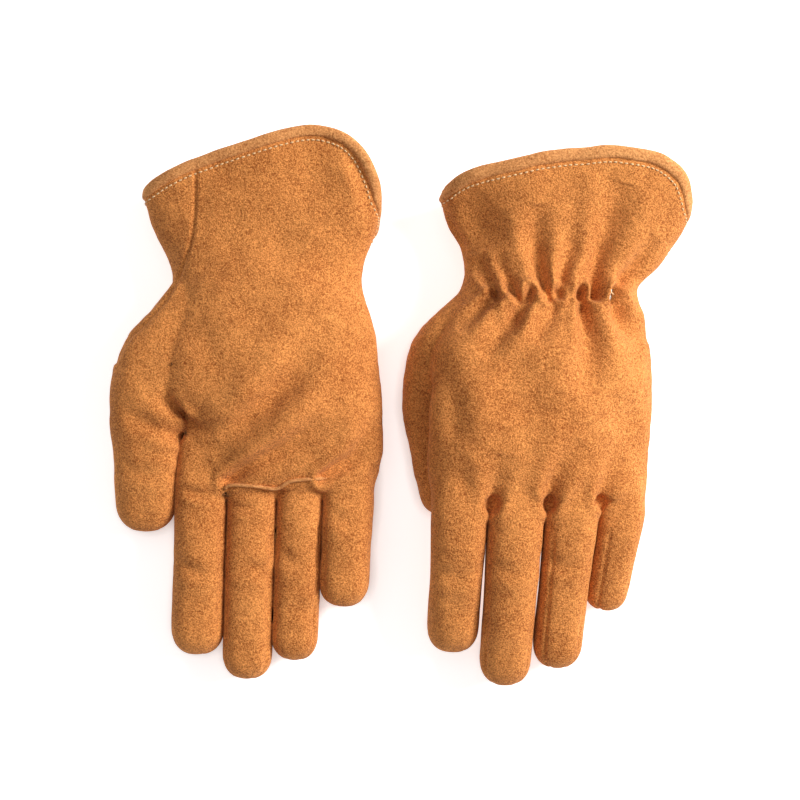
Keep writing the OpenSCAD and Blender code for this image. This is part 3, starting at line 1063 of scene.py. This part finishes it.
            names[mine & (angle >= back[0]) & (angle < back[1])] = f"{stall.name}_back"
        names[web & ~thumb] = "crotch_gussets"
        names[thumb & (t_angle < 180)] = "thumb_front"
        names[thumb & (t_angle >= 180)] = "thumb_back"
        return {name: np.flatnonzero(names == name) for name in sorted(set(names))}

    def cut_panel(self, name: str, chosen: np.ndarray) -> bpy.types.Object:
        """Make one leather panel with an inner face and closed edges.

        Args:
            name: The panel's name.
            chosen: Numbers of the skin's faces in it.

        Returns:
            The panel.
        """
        faces = self.faces[chosen]
        used, flat = np.unique(faces, return_inverse=True)
        local = flat.reshape(-1, 4)
        outer = self.points[used]
        inner = outer - self.normals[used] * LEATHER
        count = len(used)
        steps = np.stack([local, np.roll(local, -1, axis=1)], axis=2).reshape(-1, 2)
        key = np.sort(steps, axis=1)
        _, back, times = np.unique(key, axis=0, return_inverse=True, return_counts=True)
        rim = steps[times[back.ravel()] == 1]
        walls = np.column_stack([rim[:, 1], rim[:, 0], rim[:, 0] + count, rim[:, 1] + count])
        all_faces = np.vstack([local, local[:, ::-1] + count, walls])
        obj = mesh_piece(
            self.prefix(name),
            np.vstack([outer, inner]),
            all_faces.tolist(),
            [self.finishes["suede"], self.finishes["flesh"]],
        )
        mesh = obj.data
        kind = np.zeros(len(all_faces), int)
        kind[len(local):] = 1
        mesh.polygons.foreach_set("material_index", kind)
        shade = np.vstack([self.normals[used], -self.normals[used]])[all_faces.ravel()]
        placed = read_points(mesh)
        corner = placed[walls[:, 0]]
        wall = np.cross(placed[walls[:, 1]] - corner, placed[walls[:, 3]] - corner)
        shade[2 * local.size:] = np.repeat(unit(wall), 4, axis=0)
        mesh.normals_split_custom_set(shade.tolist())
        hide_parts(self.prefix(name))
        return obj

    def hang(self, obj: bpy.types.Object, name: str) -> None:
        """Tie a hand panel to the hand's body; finger and thumb panels only get their placement baked in.

        Args:
            obj: The panel.
            name: Its name without the side.
        """
        p = self.pattern
        hand = self.prefix("hand")
        part = name.split("_")[0]
        stalls = {s.name: s for s in p.fingers}
        if part in stalls:
            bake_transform(obj)
        elif part == "thumb":
            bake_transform(obj)
        else:
            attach(obj, hand)

    def build(self) -> list:
        """Make every leather panel of the glove.

        Returns:
            The panels.
        """
        self.grow()
        self.crease()
        self.rim = self.find_rim()
        panels = []
        for name, chosen in self.label().items():
            obj = self.cut_panel(name, chosen)
            self.hang(obj, name)
            panels.append(obj)
            LOG.info("%s: %d faces", obj.name, len(obj.data.polygons))
        bpy.data.objects.remove(self.skin)
        return panels

    def find_rim(self) -> np.ndarray:
        """Follow the open edge of the cuff.

        Returns:
            Numbers of the edge's points, in order once around.
        """
        steps = np.stack([self.faces, np.roll(self.faces, -1, axis=1)], axis=2).reshape(-1, 2)
        key = np.sort(steps, axis=1)
        _, back, times = np.unique(key, axis=0, return_inverse=True, return_counts=True)
        rim = steps[times[back.ravel()] == 1]
        after = {int(a): int(b) for a, b in rim}
        best: list = []
        while after:
            first = next(iter(after))
            loop, at = [], first
            while at in after:
                loop.append(at)
                at = after.pop(at)
            if len(loop) > len(best):
                best = loop
        return np.array(best)


@dataclass(frozen=True)
class Band:
    """A line of places on the skin with the directions that a trim piece needs."""

    at: np.ndarray
    along: np.ndarray
    out: np.ndarray
    normal: np.ndarray


class Trim:
    """The hem, the threads, the welt and the wrist tape of one glove."""

    def __init__(self, skin: SkinBuilder) -> None:
        """Keep the skin that the trim is sewn to."""
        self.skin = skin
        self.pattern = skin.pattern
        self.band = self.rim_band(2.0)

    def rim_band(self, pitch: float) -> Band:
        """Lay out the cuff's edge at even steps.

        Args:
            pitch: Step along the edge.

        Returns:
            The edge as a closed band.
        """
        points = self.skin.points[self.skin.rim]
        normals = self.skin.normals[self.skin.rim]
        for _ in range(10):
            points = (np.roll(points, 1, 0) + np.roll(points, -1, 0)) * 0.25 + points * 0.5
            normals = unit((np.roll(normals, 1, 0) + np.roll(normals, -1, 0)) * 0.25 + normals * 0.5)
        step = np.linalg.norm(np.roll(points, -1, 0) - points, axis=1)
        reach = np.concatenate([[0], np.cumsum(step)])
        count = int(reach[-1] / pitch)
        s = np.linspace(0, reach[-1], count, endpoint=False)
        ring = np.vstack([points, points[:1]])
        out_ring = np.vstack([normals, normals[:1]])
        at = np.column_stack([np.interp(s, reach, ring[:, i]) for i in range(3)])
        normal = unit(np.column_stack([np.interp(s, reach, out_ring[:, i]) for i in range(3)]))
        along = unit(np.roll(at, -1, 0) - np.roll(at, 1, 0))
        out = unit(np.cross(along, normal))
        if out[:, 1].mean() < 0:
            out = -out
        normal = unit(np.cross(out, along))
        if (normal * self.nearest_normals(at)).sum() < 0:
            normal = -normal
        return Band(at, along, out, normal)

    def nearest_normals(self, points: np.ndarray) -> np.ndarray:
        """Return the skin's outward directions nearest to points."""
        return np.array([self.skin.tree.find_nearest(Vector(p))[1][:] for p in points])

    def on_skin(self, points: np.ndarray) -> tuple:
        """Drop points on to the skin.

        Args:
            points: Points near the skin.

        Returns:
            The places on the skin and the outward directions there.
        """
        found = [self.skin.tree.find_nearest(Vector(p)) for p in points]
        return np.array([f[0][:] for f in found]), unit(np.array([f[1][:] for f in found]))

    def finish(self, obj: bpy.types.Object, node: str) -> bpy.types.Object:
        """Tie a trim piece to the hand and hide the part that it stands for.

        Args:
            obj: The piece.
            node: Name without the side of the piece that it stands for.

        Returns:
            The piece.
        """
        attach(obj, self.skin.prefix("hand"))
        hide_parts(self.skin.prefix(node))
        LOG.info("%s: %d faces", obj.name, len(obj.data.polygons))
        return obj

    def hem(self) -> bpy.types.Object:
        """Make the rolled edge round the cuff mouth.

        Returns:
            The hem.
        """
        b, half = self.band, self.pattern.hem_half
        fat = 1 + 0.07 * waves(b.at, 7, 5.0)
        centre = b.at - b.normal * (LEATHER / 2) + b.out * half * 0.25
        centre = centre + b.normal * (0.25 * waves(b.at, 14, 2.0))[:, None]
        verts, faces = sweep(
            centre, b.out, b.normal, half * fat, np.full(len(fat), 2.15) * fat, 20, True, 2.5
        )
        obj = mesh_piece(self.skin.prefix("hem_binding"), verts, faces, [self.skin.finishes["edge_leather"]])
        self.skin.face_outwards(obj.data)
        return self.finish(obj, "hem_binding")

    def stitches(
        self, name: str, places: np.ndarray, along: np.ndarray, normal: np.ndarray, long: float, thick: float
    ) -> bpy.types.Object:
        """Make a row of separate stitches that dip into the leather at both ends.

        Args:
            name: The row's name.
            places: Middle of each stitch.
            along: Direction of each stitch.
            normal: Outward direction at each stitch.
            long: Length of a stitch.
            thick: Radius of the thread.

        Returns:
            The row.
        """
        t = np.linspace(-1, 1, 7)
        verts, faces, start = [], [], 0
        for p, a, n in zip(places, along, normal):
            side = unit(np.cross(a, n))
            path = p + a * (t * long / 2)[:, None] + n * (thick * (0.75 - 1.5 * t**4))[:, None]
            full = np.full(7, thick)
            full[[0, -1]] *= 0.6
            v, f = sweep(path, np.tile(side, (7, 1)), np.tile(n, (7, 1)), full, full, 8)
            verts.append(v)
            faces += [[i + start for i in face] for face in f]
            start += len(v)
        obj = mesh_piece(self.skin.prefix(name), np.vstack(verts), faces, [self.skin.finishes["thread"]])
        self.skin.face_outwards(obj.data)
        return self.finish(obj, name)

    def hem_thread(self) -> bpy.types.Object:
        """Make the cream stitches below the hem.

        Returns:
            The row of stitches.
        """
        pitch = 2.6
        b = self.rim_band(pitch)
        below = b.at - b.out * (self.pattern.hem_half * 0.8 + 1.5)
        places, normal = self.on_skin(below)
        along = unit(np.roll(places, -1, 0) - np.roll(places, 1, 0))
        keep = np.linalg.norm(np.roll(places, -1, 0) - places, axis=1) > pitch * 0.5
        return self.stitches("hem_thread", places[keep], along[keep], normal[keep], 1.6, 0.33)

    def wrist_line(self, shift: float, steps: int) -> tuple:
        """Follow the back of the wrist where the tape is sewn.

        Args:
            shift: Distance towards the cuff.
            steps: Number of places.

        Returns:
            Places on the skin and outward directions.
        """
        p = self.pattern
        x = np.linspace(p.wrist_x[0] + 3, p.wrist_x[1] - 3, steps)
        y = np.full(steps, p.wrist_y + shift)
        far = 80.0 if p.palm_up < 0 else -40.0
        way = Vector((0, 0, -1.0 if far > 0 else 1.0))
        hits = [self.skin.tree.ray_cast(Vector((a, b, far)), way) for a, b in zip(x, y)]
        places = np.array([h[0][:] for h in hits])
        normal = unit(np.array([h[1][:] for h in hits]))
        for _ in range(4):
            normal[1:-1] = unit(normal[:-2] + normal[1:-1] * 2 + normal[2:])
        return places, normal

    def tape(self) -> bpy.types.Object:
        """Make the elastic tape inside the back of the wrist.

        Returns:
            The tape.
        """
        steps, half = 90, 4.0
        lines = []
        for layer in (ELASTIC_DEPTH, ELASTIC_DEPTH + ELASTIC_THICK):
            for shift in np.linspace(-half, half, 7):
                places, normal = self.wrist_line(shift, steps)
                facing = 1 if layer == ELASTIC_DEPTH else -1
                ruffle = 0.12 * np.cos(np.arange(steps) * 2.1) * facing
                lines.append(places - normal * (layer + ruffle)[:, None])
        grid = np.array(lines)
        count = len(lines)
        order = list(range(count // 2)) + list(range(count - 1, count // 2 - 1, -1))
        ring = grid[order].transpose(1, 0, 2)
        faces = [
            [
                k * count + s,
                k * count + (s + 1) % count,
                (k + 1) * count + (s + 1) % count,
                (k + 1) * count + s,
            ]
            for k in range(steps - 1)
            for s in range(count)
        ]
        faces.append(list(range(count))[::-1])
        faces.append(list(range((steps - 1) * count, steps * count)))
        obj = mesh_piece(
            self.skin.prefix("wrist_elastic"), ring.reshape(-1, 3), faces, [self.skin.finishes["elastic"]]
        )
        self.skin.face_outwards(obj.data)
        return self.finish(obj, "wrist_elastic")

    def gather_thread(self) -> bpy.types.Object:
        """Make the stitches that hold the tape, on its inner face.

        Returns:
            The row of stitches.
        """
        rows = []
        for shift in (-1.6, 1.6):
            places, normal = self.wrist_line(shift, 34)
            slant = np.zeros_like(places)
            slant[:, 0], slant[:, 1] = 1.0, np.where(np.arange(34) % 2 == 0, 0.8, -0.8)
            inner = places - normal * (ELASTIC_DEPTH + ELASTIC_THICK + 0.1)
            rows.append((inner, unit(slant), -normal))
        return self.stitches(
            "gather_thread",
            np.vstack([r[0] for r in rows]),
            np.vstack([r[1] for r in rows]),
            np.vstack([r[2] for r in rows]),
            2.0,
            0.3,
        )

    def welt(self) -> bpy.types.Object:
        """Make the welt across the palm where the two middle fingers' fronts are sewn on.

        Returns:
            The welt.
        """
        p = self.pattern
        t = np.linspace(0, 1, 70)
        xy = spline(p.welt, t)
        far = 80.0 if p.palm_up > 0 else -40.0
        way = Vector((0, 0, -1.0 if far > 0 else 1.0))
        hits = [self.skin.tree.ray_cast(Vector((x, y, far)), way) for x, y in xy]
        places = np.array([h[0][:] for h in hits])
        for _ in range(40):
            places[1:-1, 2] = (places[:-2, 2] + places[1:-1, 2] * 2 + places[2:, 2]) / 4
        along = unit(np.gradient(places, axis=0))
        up = np.tile([0.0, 0.0, p.palm_up], (len(t), 1))
        side = unit(np.cross(along, up))
        over = np.cross(side, along)
        thin = np.clip(np.minimum(t, 1 - t) * 22, 0.35, 1.0) * (1 + 0.08 * waves(places, 5, 4.0))
        verts, faces = sweep(places + over * 0.35, side, over, 0.85 * thin, 1.25 * thin, 14, False, 2.6)
        obj = mesh_piece(self.skin.prefix("palm_welt"), verts, faces, [self.skin.finishes["edge_leather"]])
        self.skin.face_outwards(obj.data)
        return self.finish(obj, "palm_welt")

    def build(self) -> None:
        """Make every trim piece of the glove."""
        self.hem()
        self.hem_thread()
        self.tape()
        self.gather_thread()
        self.welt()


def srgb(red: float, green: float, blue: float) -> tuple:
    """Turn a colour as seen on a screen into linear values.

    Args:
        red: Red from 0 to 255.
        green: Green from 0 to 255.
        blue: Blue from 0 to 255.

    Returns:
        Linear red, green and blue, and full alpha.
    """
    shares = (red / 255, green / 255, blue / 255)
    linear = [c / 12.92 if c <= 0.04045 else ((c + 0.055) / 1.055) ** 2.4 for c in shares]
    return (*linear, 1.0)


class NodeSheet:
    """Small helper that lays shader nodes out and joins them."""

    def __init__(self, tree: bpy.types.NodeTree) -> None:
        """Keep the tree that the nodes go into."""
        self.tree = tree
        self.count = 0

    def add(self, kind: str, inputs: dict | None = None, **values: object) -> bpy.types.Node:
        """Add one node.

        Args:
            kind: Blender's name for the node.
            inputs: Values or sockets by input name or number.
            values: Settings of the node.

        Returns:
            The node.
        """
        node = self.tree.nodes.new(kind)
        node.location = (self.count * 180, 0)
        self.count += 1
        for key, value in values.items():
            setattr(node, key, value)
        for key, value in (inputs or {}).items():
            if isinstance(value, bpy.types.NodeSocket):
                self.tree.links.new(value, node.inputs[key])
            else:
                node.inputs[key].default_value = value
        return node

    def math(self, operation: str, a: object, b: object = 0.0, c: object = 0.0) -> bpy.types.NodeSocket:
        """Add a math node and return its value."""
        return self.add("ShaderNodeMath", {0: a, 1: b, 2: c}, operation=operation).outputs[0]

    def mix(self, share: object, a: object, b: object, blend: str = "MIX") -> bpy.types.NodeSocket:
        """Add a colour mix.

        Args:
            share: Share of the second colour.
            a: The first colour.
            b: The second colour.
            blend: Blender's name for the kind of mix.

        Returns:
            The mixed colour.
        """
        node = self.add("ShaderNodeMix", data_type="RGBA", blend_type=blend)
        for key, value in ((0, share), (6, a), (7, b)):
            if isinstance(value, bpy.types.NodeSocket):
                self.tree.links.new(value, node.inputs[key])
            else:
                node.inputs[key].default_value = value
        return node.outputs[2]

    def noise(self, where: object, scale: object, detail: float, rough: float = 0.5) -> bpy.types.NodeSocket:
        """Add a noise texture.

        Args:
            where: The place that the texture is read at.
            scale: Its scale.
            detail: How many finer layers it has.
            rough: How strong those layers are.

        Returns:
            The texture's value.
        """
        node = self.add(
            "ShaderNodeTexNoise", {"Vector": where, "Scale": scale, "Detail": detail, "Roughness": rough}
        )
        return node.outputs["Fac"]

    def spread(self, value: object, low: float, high: float) -> bpy.types.NodeSocket:
        """Stretch a value so that low becomes 0 and high becomes 1."""
        inputs = {"Value": value, "From Min": low, "From Max": high}
        return self.add("ShaderNodeMapRange", inputs, clamp=True).outputs["Result"]


class GroupMaker:
    """Makes the shader node groups that the finishes share."""

    @staticmethod
    def start(name: str, inputs: list, outputs: list) -> tuple:
        """Open a node group with named sockets.

        Args:
            name: The group's name.
            inputs: Name, socket type and default of each input.
            outputs: Name and socket type of each output.

        Returns:
            The group, its sheet, its input node and its output node.
        """
        group = bpy.data.node_groups.new(name, "ShaderNodeTree")
        for label, kind, value in inputs:
            socket = group.interface.new_socket(name=label, in_out="INPUT", socket_type=kind)
            socket.default_value = value
        for label, kind in outputs:
            group.interface.new_socket(name=label, in_out="OUTPUT", socket_type=kind)
        sheet = NodeSheet(group)
        enter = sheet.add("NodeGroupInput")
        leave = sheet.add("NodeGroupOutput")
        return group, sheet, enter, leave

    @classmethod
    def nap(cls) -> bpy.types.NodeTree:
        """Make the raised nap of suede: speckled fibres over brushed patches.

        Returns:
            The group.
        """
        group, sheet, enter, leave = cls.start(
            "suede_nap",
            [
                ("Dark", "NodeSocketColor", (0.3, 0.1, 0.02, 1)),
                ("Light", "NodeSocketColor", (0.8, 0.4, 0.15, 1)),
                ("Fibre Scale", "NodeSocketFloat", 1100.0),
                ("Fibre Contrast", "NodeSocketFloat", 0.6),
                ("Patch Contrast", "NodeSocketFloat", 0.5),
            ],
            [("Color", "NodeSocketColor"), ("Roughness", "NodeSocketFloat"), ("Height", "NodeSocketFloat")],
        )
        where = sheet.add("ShaderNodeTexCoord").outputs["Object"]
        drift = sheet.add("ShaderNodeTexNoise", {"Vector": where, "Scale": 90.0, "Detail": 1.0})
        bent = sheet.add(
            "ShaderNodeVectorMath", {0: drift.outputs["Color"], 1: (0.004, 0.004, 0.004), 2: where},
            operation="MULTIPLY_ADD",
        ).outputs[0]
        fibre = sheet.noise(bent, enter.outputs["Fibre Scale"], 3.0, 0.62)
        tuft_scale = sheet.math("MULTIPLY", enter.outputs["Fibre Scale"], 0.42)
        tuft = sheet.noise(where, tuft_scale, 2.0, 0.55)
        brushed = sheet.noise(where, 150.0, 3.0, 0.6)
        patch = sheet.noise(where, 34.0, 3.0, 0.55)
        fibre_v = sheet.spread(fibre, 0.33, 0.67)
        tuft_v = sheet.spread(tuft, 0.3, 0.7)
        brush_v = sheet.spread(brushed, 0.3, 0.7)
        patch_v = sheet.spread(patch, 0.32, 0.68)
        fine = sheet.math("ADD", sheet.math("MULTIPLY", fibre_v, 0.75), sheet.math("MULTIPLY", tuft_v, 0.25))
        fine = sheet.math("MULTIPLY", sheet.math("SUBTRACT", fine, 0.5), enter.outputs["Fibre Contrast"])
        broad = sheet.math("ADD", sheet.math("MULTIPLY", brush_v, 0.4), sheet.math("MULTIPLY", patch_v, 0.6))
        broad = sheet.math("MULTIPLY", sheet.math("SUBTRACT", broad, 0.5), enter.outputs["Patch Contrast"])
        share = sheet.math("ADD", sheet.math("ADD", fine, broad), 0.5)
        share = sheet.spread(share, 0.0, 1.0)
        colour = sheet.mix(share, enter.outputs["Dark"], enter.outputs["Light"])
        rough = sheet.add(
            "ShaderNodeMapRange", {"Value": fibre_v, "To Min": 0.82, "To Max": 0.98}, clamp=True
        ).outputs["Result"]
        low = sheet.math("MULTIPLY", fibre_v, 0.55)
        height = sheet.math("ADD", low, sheet.math("MULTIPLY", tuft_v, 0.45))
        sheet.tree.links.new(colour, leave.inputs["Color"])
        sheet.tree.links.new(rough, leave.inputs["Roughness"])
        sheet.tree.links.new(height, leave.inputs["Height"])
        return group

    @classmethod
    def strands(cls) -> bpy.types.NodeTree:
        """Make the fine twisted strands of thread and woven tape.

        Returns:
            The group.
        """
        group, sheet, enter, leave = cls.start(
            "twisted_strands",
            [
                ("Dark", "NodeSocketColor", (0.5, 0.4, 0.25, 1)),
                ("Light", "NodeSocketColor", (0.9, 0.8, 0.6, 1)),
                ("Strand Scale", "NodeSocketFloat", 1400.0),
            ],
            [("Color", "NodeSocketColor"), ("Height", "NodeSocketFloat")],
        )
        where = sheet.add("ShaderNodeTexCoord").outputs["Object"]
        wave = sheet.add(
            "ShaderNodeTexWave",
            {"Vector": where, "Scale": enter.outputs["Strand Scale"], "Distortion": 1.5, "Detail": 1.0},
            wave_type="BANDS",
            bands_direction="DIAGONAL",
        ).outputs["Fac"]
        fuzz = sheet.noise(where, 2600.0, 2.0, 0.6)
        share = sheet.math("ADD", sheet.math("MULTIPLY", wave, 0.6), sheet.math("MULTIPLY", fuzz, 0.4))
        colour = sheet.mix(share, enter.outputs["Dark"], enter.outputs["Light"])
        sheet.tree.links.new(colour, leave.inputs["Color"])
        sheet.tree.links.new(share, leave.inputs["Height"])
        return group


@dataclass(frozen=True)
class SuedeFinish:
    """A brushed leather finish, with its colours as seen on a screen."""

    name: str
    dark: tuple
    light: tuple
    fibre_scale: float = 1500.0
    fibre_contrast: float = 1.25
    patch_contrast: float = 0.36
    bump: float = 0.6
    sheen: float = 0.12

    def make(self, nap: bpy.types.NodeTree) -> bpy.types.Material:
        """Build the material.

        Args:
            nap: The shared nap group.

        Returns:
            The material.
        """
        material = bpy.data.materials.new(self.name)
        material.use_nodes = True
        sheet = NodeSheet(material.node_tree)
        shader = material.node_tree.nodes["Principled BSDF"]
        group = sheet.add("ShaderNodeGroup", None, node_tree=nap)
        for label, value in (
            ("Dark", srgb(*self.dark)),
            ("Light", srgb(*self.light)),
            ("Fibre Scale", self.fibre_scale),
            ("Fibre Contrast", self.fibre_contrast),
            ("Patch Contrast", self.patch_contrast),
        ):
            group.inputs[label].default_value = value
        bump = sheet.add(
            "ShaderNodeBump", {"Height": group.outputs["Height"], "Strength": self.bump, "Distance": 0.0007}
        )
        link = material.node_tree.links.new
        link(group.outputs["Color"], shader.inputs["Base Color"])
        link(group.outputs["Roughness"], shader.inputs["Roughness"])
        link(bump.outputs["Normal"], shader.inputs["Normal"])
        shader.inputs["Specular IOR Level"].default_value = 0.2
        shader.inputs["Sheen Weight"].default_value = self.sheen
        shader.inputs["Sheen Roughness"].default_value = 0.55
        shader.inputs["Sheen Tint"].default_value = srgb(255, 214, 168)
        return material


@dataclass(frozen=True)
class ThreadFinish:
    """A thread or tape finish, with its colours as seen on a screen."""

    name: str
    dark: tuple
    light: tuple
    strand_scale: float

    def make(self, strands: bpy.types.NodeTree) -> bpy.types.Material:
        """Build the material.

        Args:
            strands: The shared strand group.

        Returns:
            The material.
        """
        material = bpy.data.materials.new(self.name)
        material.use_nodes = True
        sheet = NodeSheet(material.node_tree)
        shader = material.node_tree.nodes["Principled BSDF"]
        group = sheet.add("ShaderNodeGroup", None, node_tree=strands)
        group.inputs["Dark"].default_value = srgb(*self.dark)
        group.inputs["Light"].default_value = srgb(*self.light)
        group.inputs["Strand Scale"].default_value = self.strand_scale
        bump = sheet.add(
            "ShaderNodeBump", {"Height": group.outputs["Height"], "Strength": 0.5, "Distance": 0.0003}
        )
        link = material.node_tree.links.new
        link(group.outputs["Color"], shader.inputs["Base Color"])
        link(bump.outputs["Normal"], shader.inputs["Normal"])
        shader.inputs["Roughness"].default_value = 0.7
        shader.inputs["Sheen Weight"].default_value = 0.2
        return material


class Studio:
    """The pale floor, the soft lights and the camera above the pair."""

    def build(self) -> None:
        """Set the stage."""
        self.floor()
        self.light("key", (1.2, 0.42, 0.86), 0.6, 34.0)
        self.light("fill", (-0.3, 0.4, 1.6), 1.4, 5.0)
        world = bpy.data.worlds.new("studio")
        world.use_nodes = True
        sky = world.node_tree.nodes["Background"]
        sky.inputs["Color"].default_value = (1.0, 1.0, 1.0, 1.0)
        sky.inputs["Strength"].default_value = 0.3
        bpy.context.scene.world = world
        bpy.context.scene.view_settings.view_transform = "Standard"
        self.camera()

    def floor(self) -> None:
        """Lay the floor that the gloves rest on, with a painted glow that is dimmed to painted shade near
        the gloves.
        """
        half = 5000.0
        corners = np.array(
            [[-half, -half, -0.3], [half, -half, -0.3], [half, half, -0.3], [-half, half, -0.3]]
        )
        material = bpy.data.materials.new("pale_floor")
        material.use_nodes = True
        sheet = NodeSheet(material.node_tree)
        shader = material.node_tree.nodes["Principled BSDF"]
        where = sheet.add("ShaderNodeTexCoord").outputs["Object"]
        grain = sheet.noise(where, 60.0, 2.0)
        colour = sheet.mix(grain, (0.93, 0.93, 0.93, 1), (0.96, 0.96, 0.96, 1))
        material.node_tree.links.new(colour, shader.inputs["Base Color"])
        shader.inputs["Roughness"].default_value = 0.9
        shader.inputs["Specular IOR Level"].default_value = 0.1
        # Painted light: the floor glows though it is no lamp, and an ambient occlusion node dims that glow
        # near the gloves, painting shade into the slits between the fingers and along their outlines.
        painted_glow_shade = sheet.add("ShaderNodeAmbientOcclusion")
        painted_glow_shade.inputs["Distance"].default_value = 0.008
        material.node_tree.links.new(painted_glow_shade.outputs["Color"], shader.inputs["Emission Color"])
        shader.inputs["Emission Strength"].default_value = 0.62
        floor = mesh_piece("studio_floor", corners, [[0, 1, 2, 3]], [material])

    @staticmethod
    def light(name: str, place: tuple, size: float, power: float) -> None:
        """Hang one soft square light that looks at the pair.

        Args:
            name: The light's name.
            place: Where it hangs, in metres.
            size: Its side, in metres.
            power: Its power in watts.
        """
        lamp = bpy.data.lights.new(name, "AREA")
        lamp.shape = "SQUARE"
        lamp.size = size
        lamp.energy = power
        obj = bpy.data.objects.new(name, lamp)
        obj.location = place
        obj.rotation_euler = (-Vector(place)).to_track_quat("-Z", "Y").to_euler()
        bpy.context.scene.collection.objects.link(obj)

    @staticmethod
    def camera() -> None:
        """Put the camera straight above the pair."""
        data = bpy.data.cameras.new("overhead")
        data.lens = 85.0
        data.sensor_width = 36.0
        obj = bpy.data.objects.new("overhead", data)
        obj.location = (-0.0002, 0.0039, 0.889)
        bpy.context.scene.collection.objects.link(obj)
        bpy.context.scene.camera = obj


def finishes() -> dict:
    """Make the materials of the pair.

    Returns:
        Materials by slot name.
    """
    nap, strands = GroupMaker.nap(), GroupMaker.strands()
    suede = SuedeFinish("golden_suede", (142, 70, 22), (240, 158, 84))
    flesh = SuedeFinish("suede_inside", (132, 74, 32), (206, 140, 84), 900.0, 0.6, 0.3, 0.35, 0.1)
    edge = SuedeFinish("hem_suede", (156, 88, 40), (240, 170, 104), 1250.0, 1.0, 0.3, 0.45, 0.12)
    thread = ThreadFinish("cream_thread", (206, 158, 102), (242, 210, 158), 900.0)
    elastic = ThreadFinish("woven_elastic", (188, 178, 160), (238, 232, 218), 300.0)
    return {
        "suede": suede.make(nap),
        "flesh": flesh.make(nap),
        "edge_leather": edge.make(nap),
        "thread": thread.make(strands),
        "elastic": elastic.make(strands),
    }


def main() -> None:
    """Build the pair, piece by piece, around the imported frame."""
    logging.basicConfig(level=logging.INFO, format="%(name)s %(message)s")
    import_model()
    materials = finishes()
    for pattern in (RIGHT_PATTERN, LEFT_PATTERN):
        skin = SkinBuilder(pattern, materials)
        skin.build()
        Trim(skin).build()
    Studio().build()


if __name__ == "__main__":
    main()
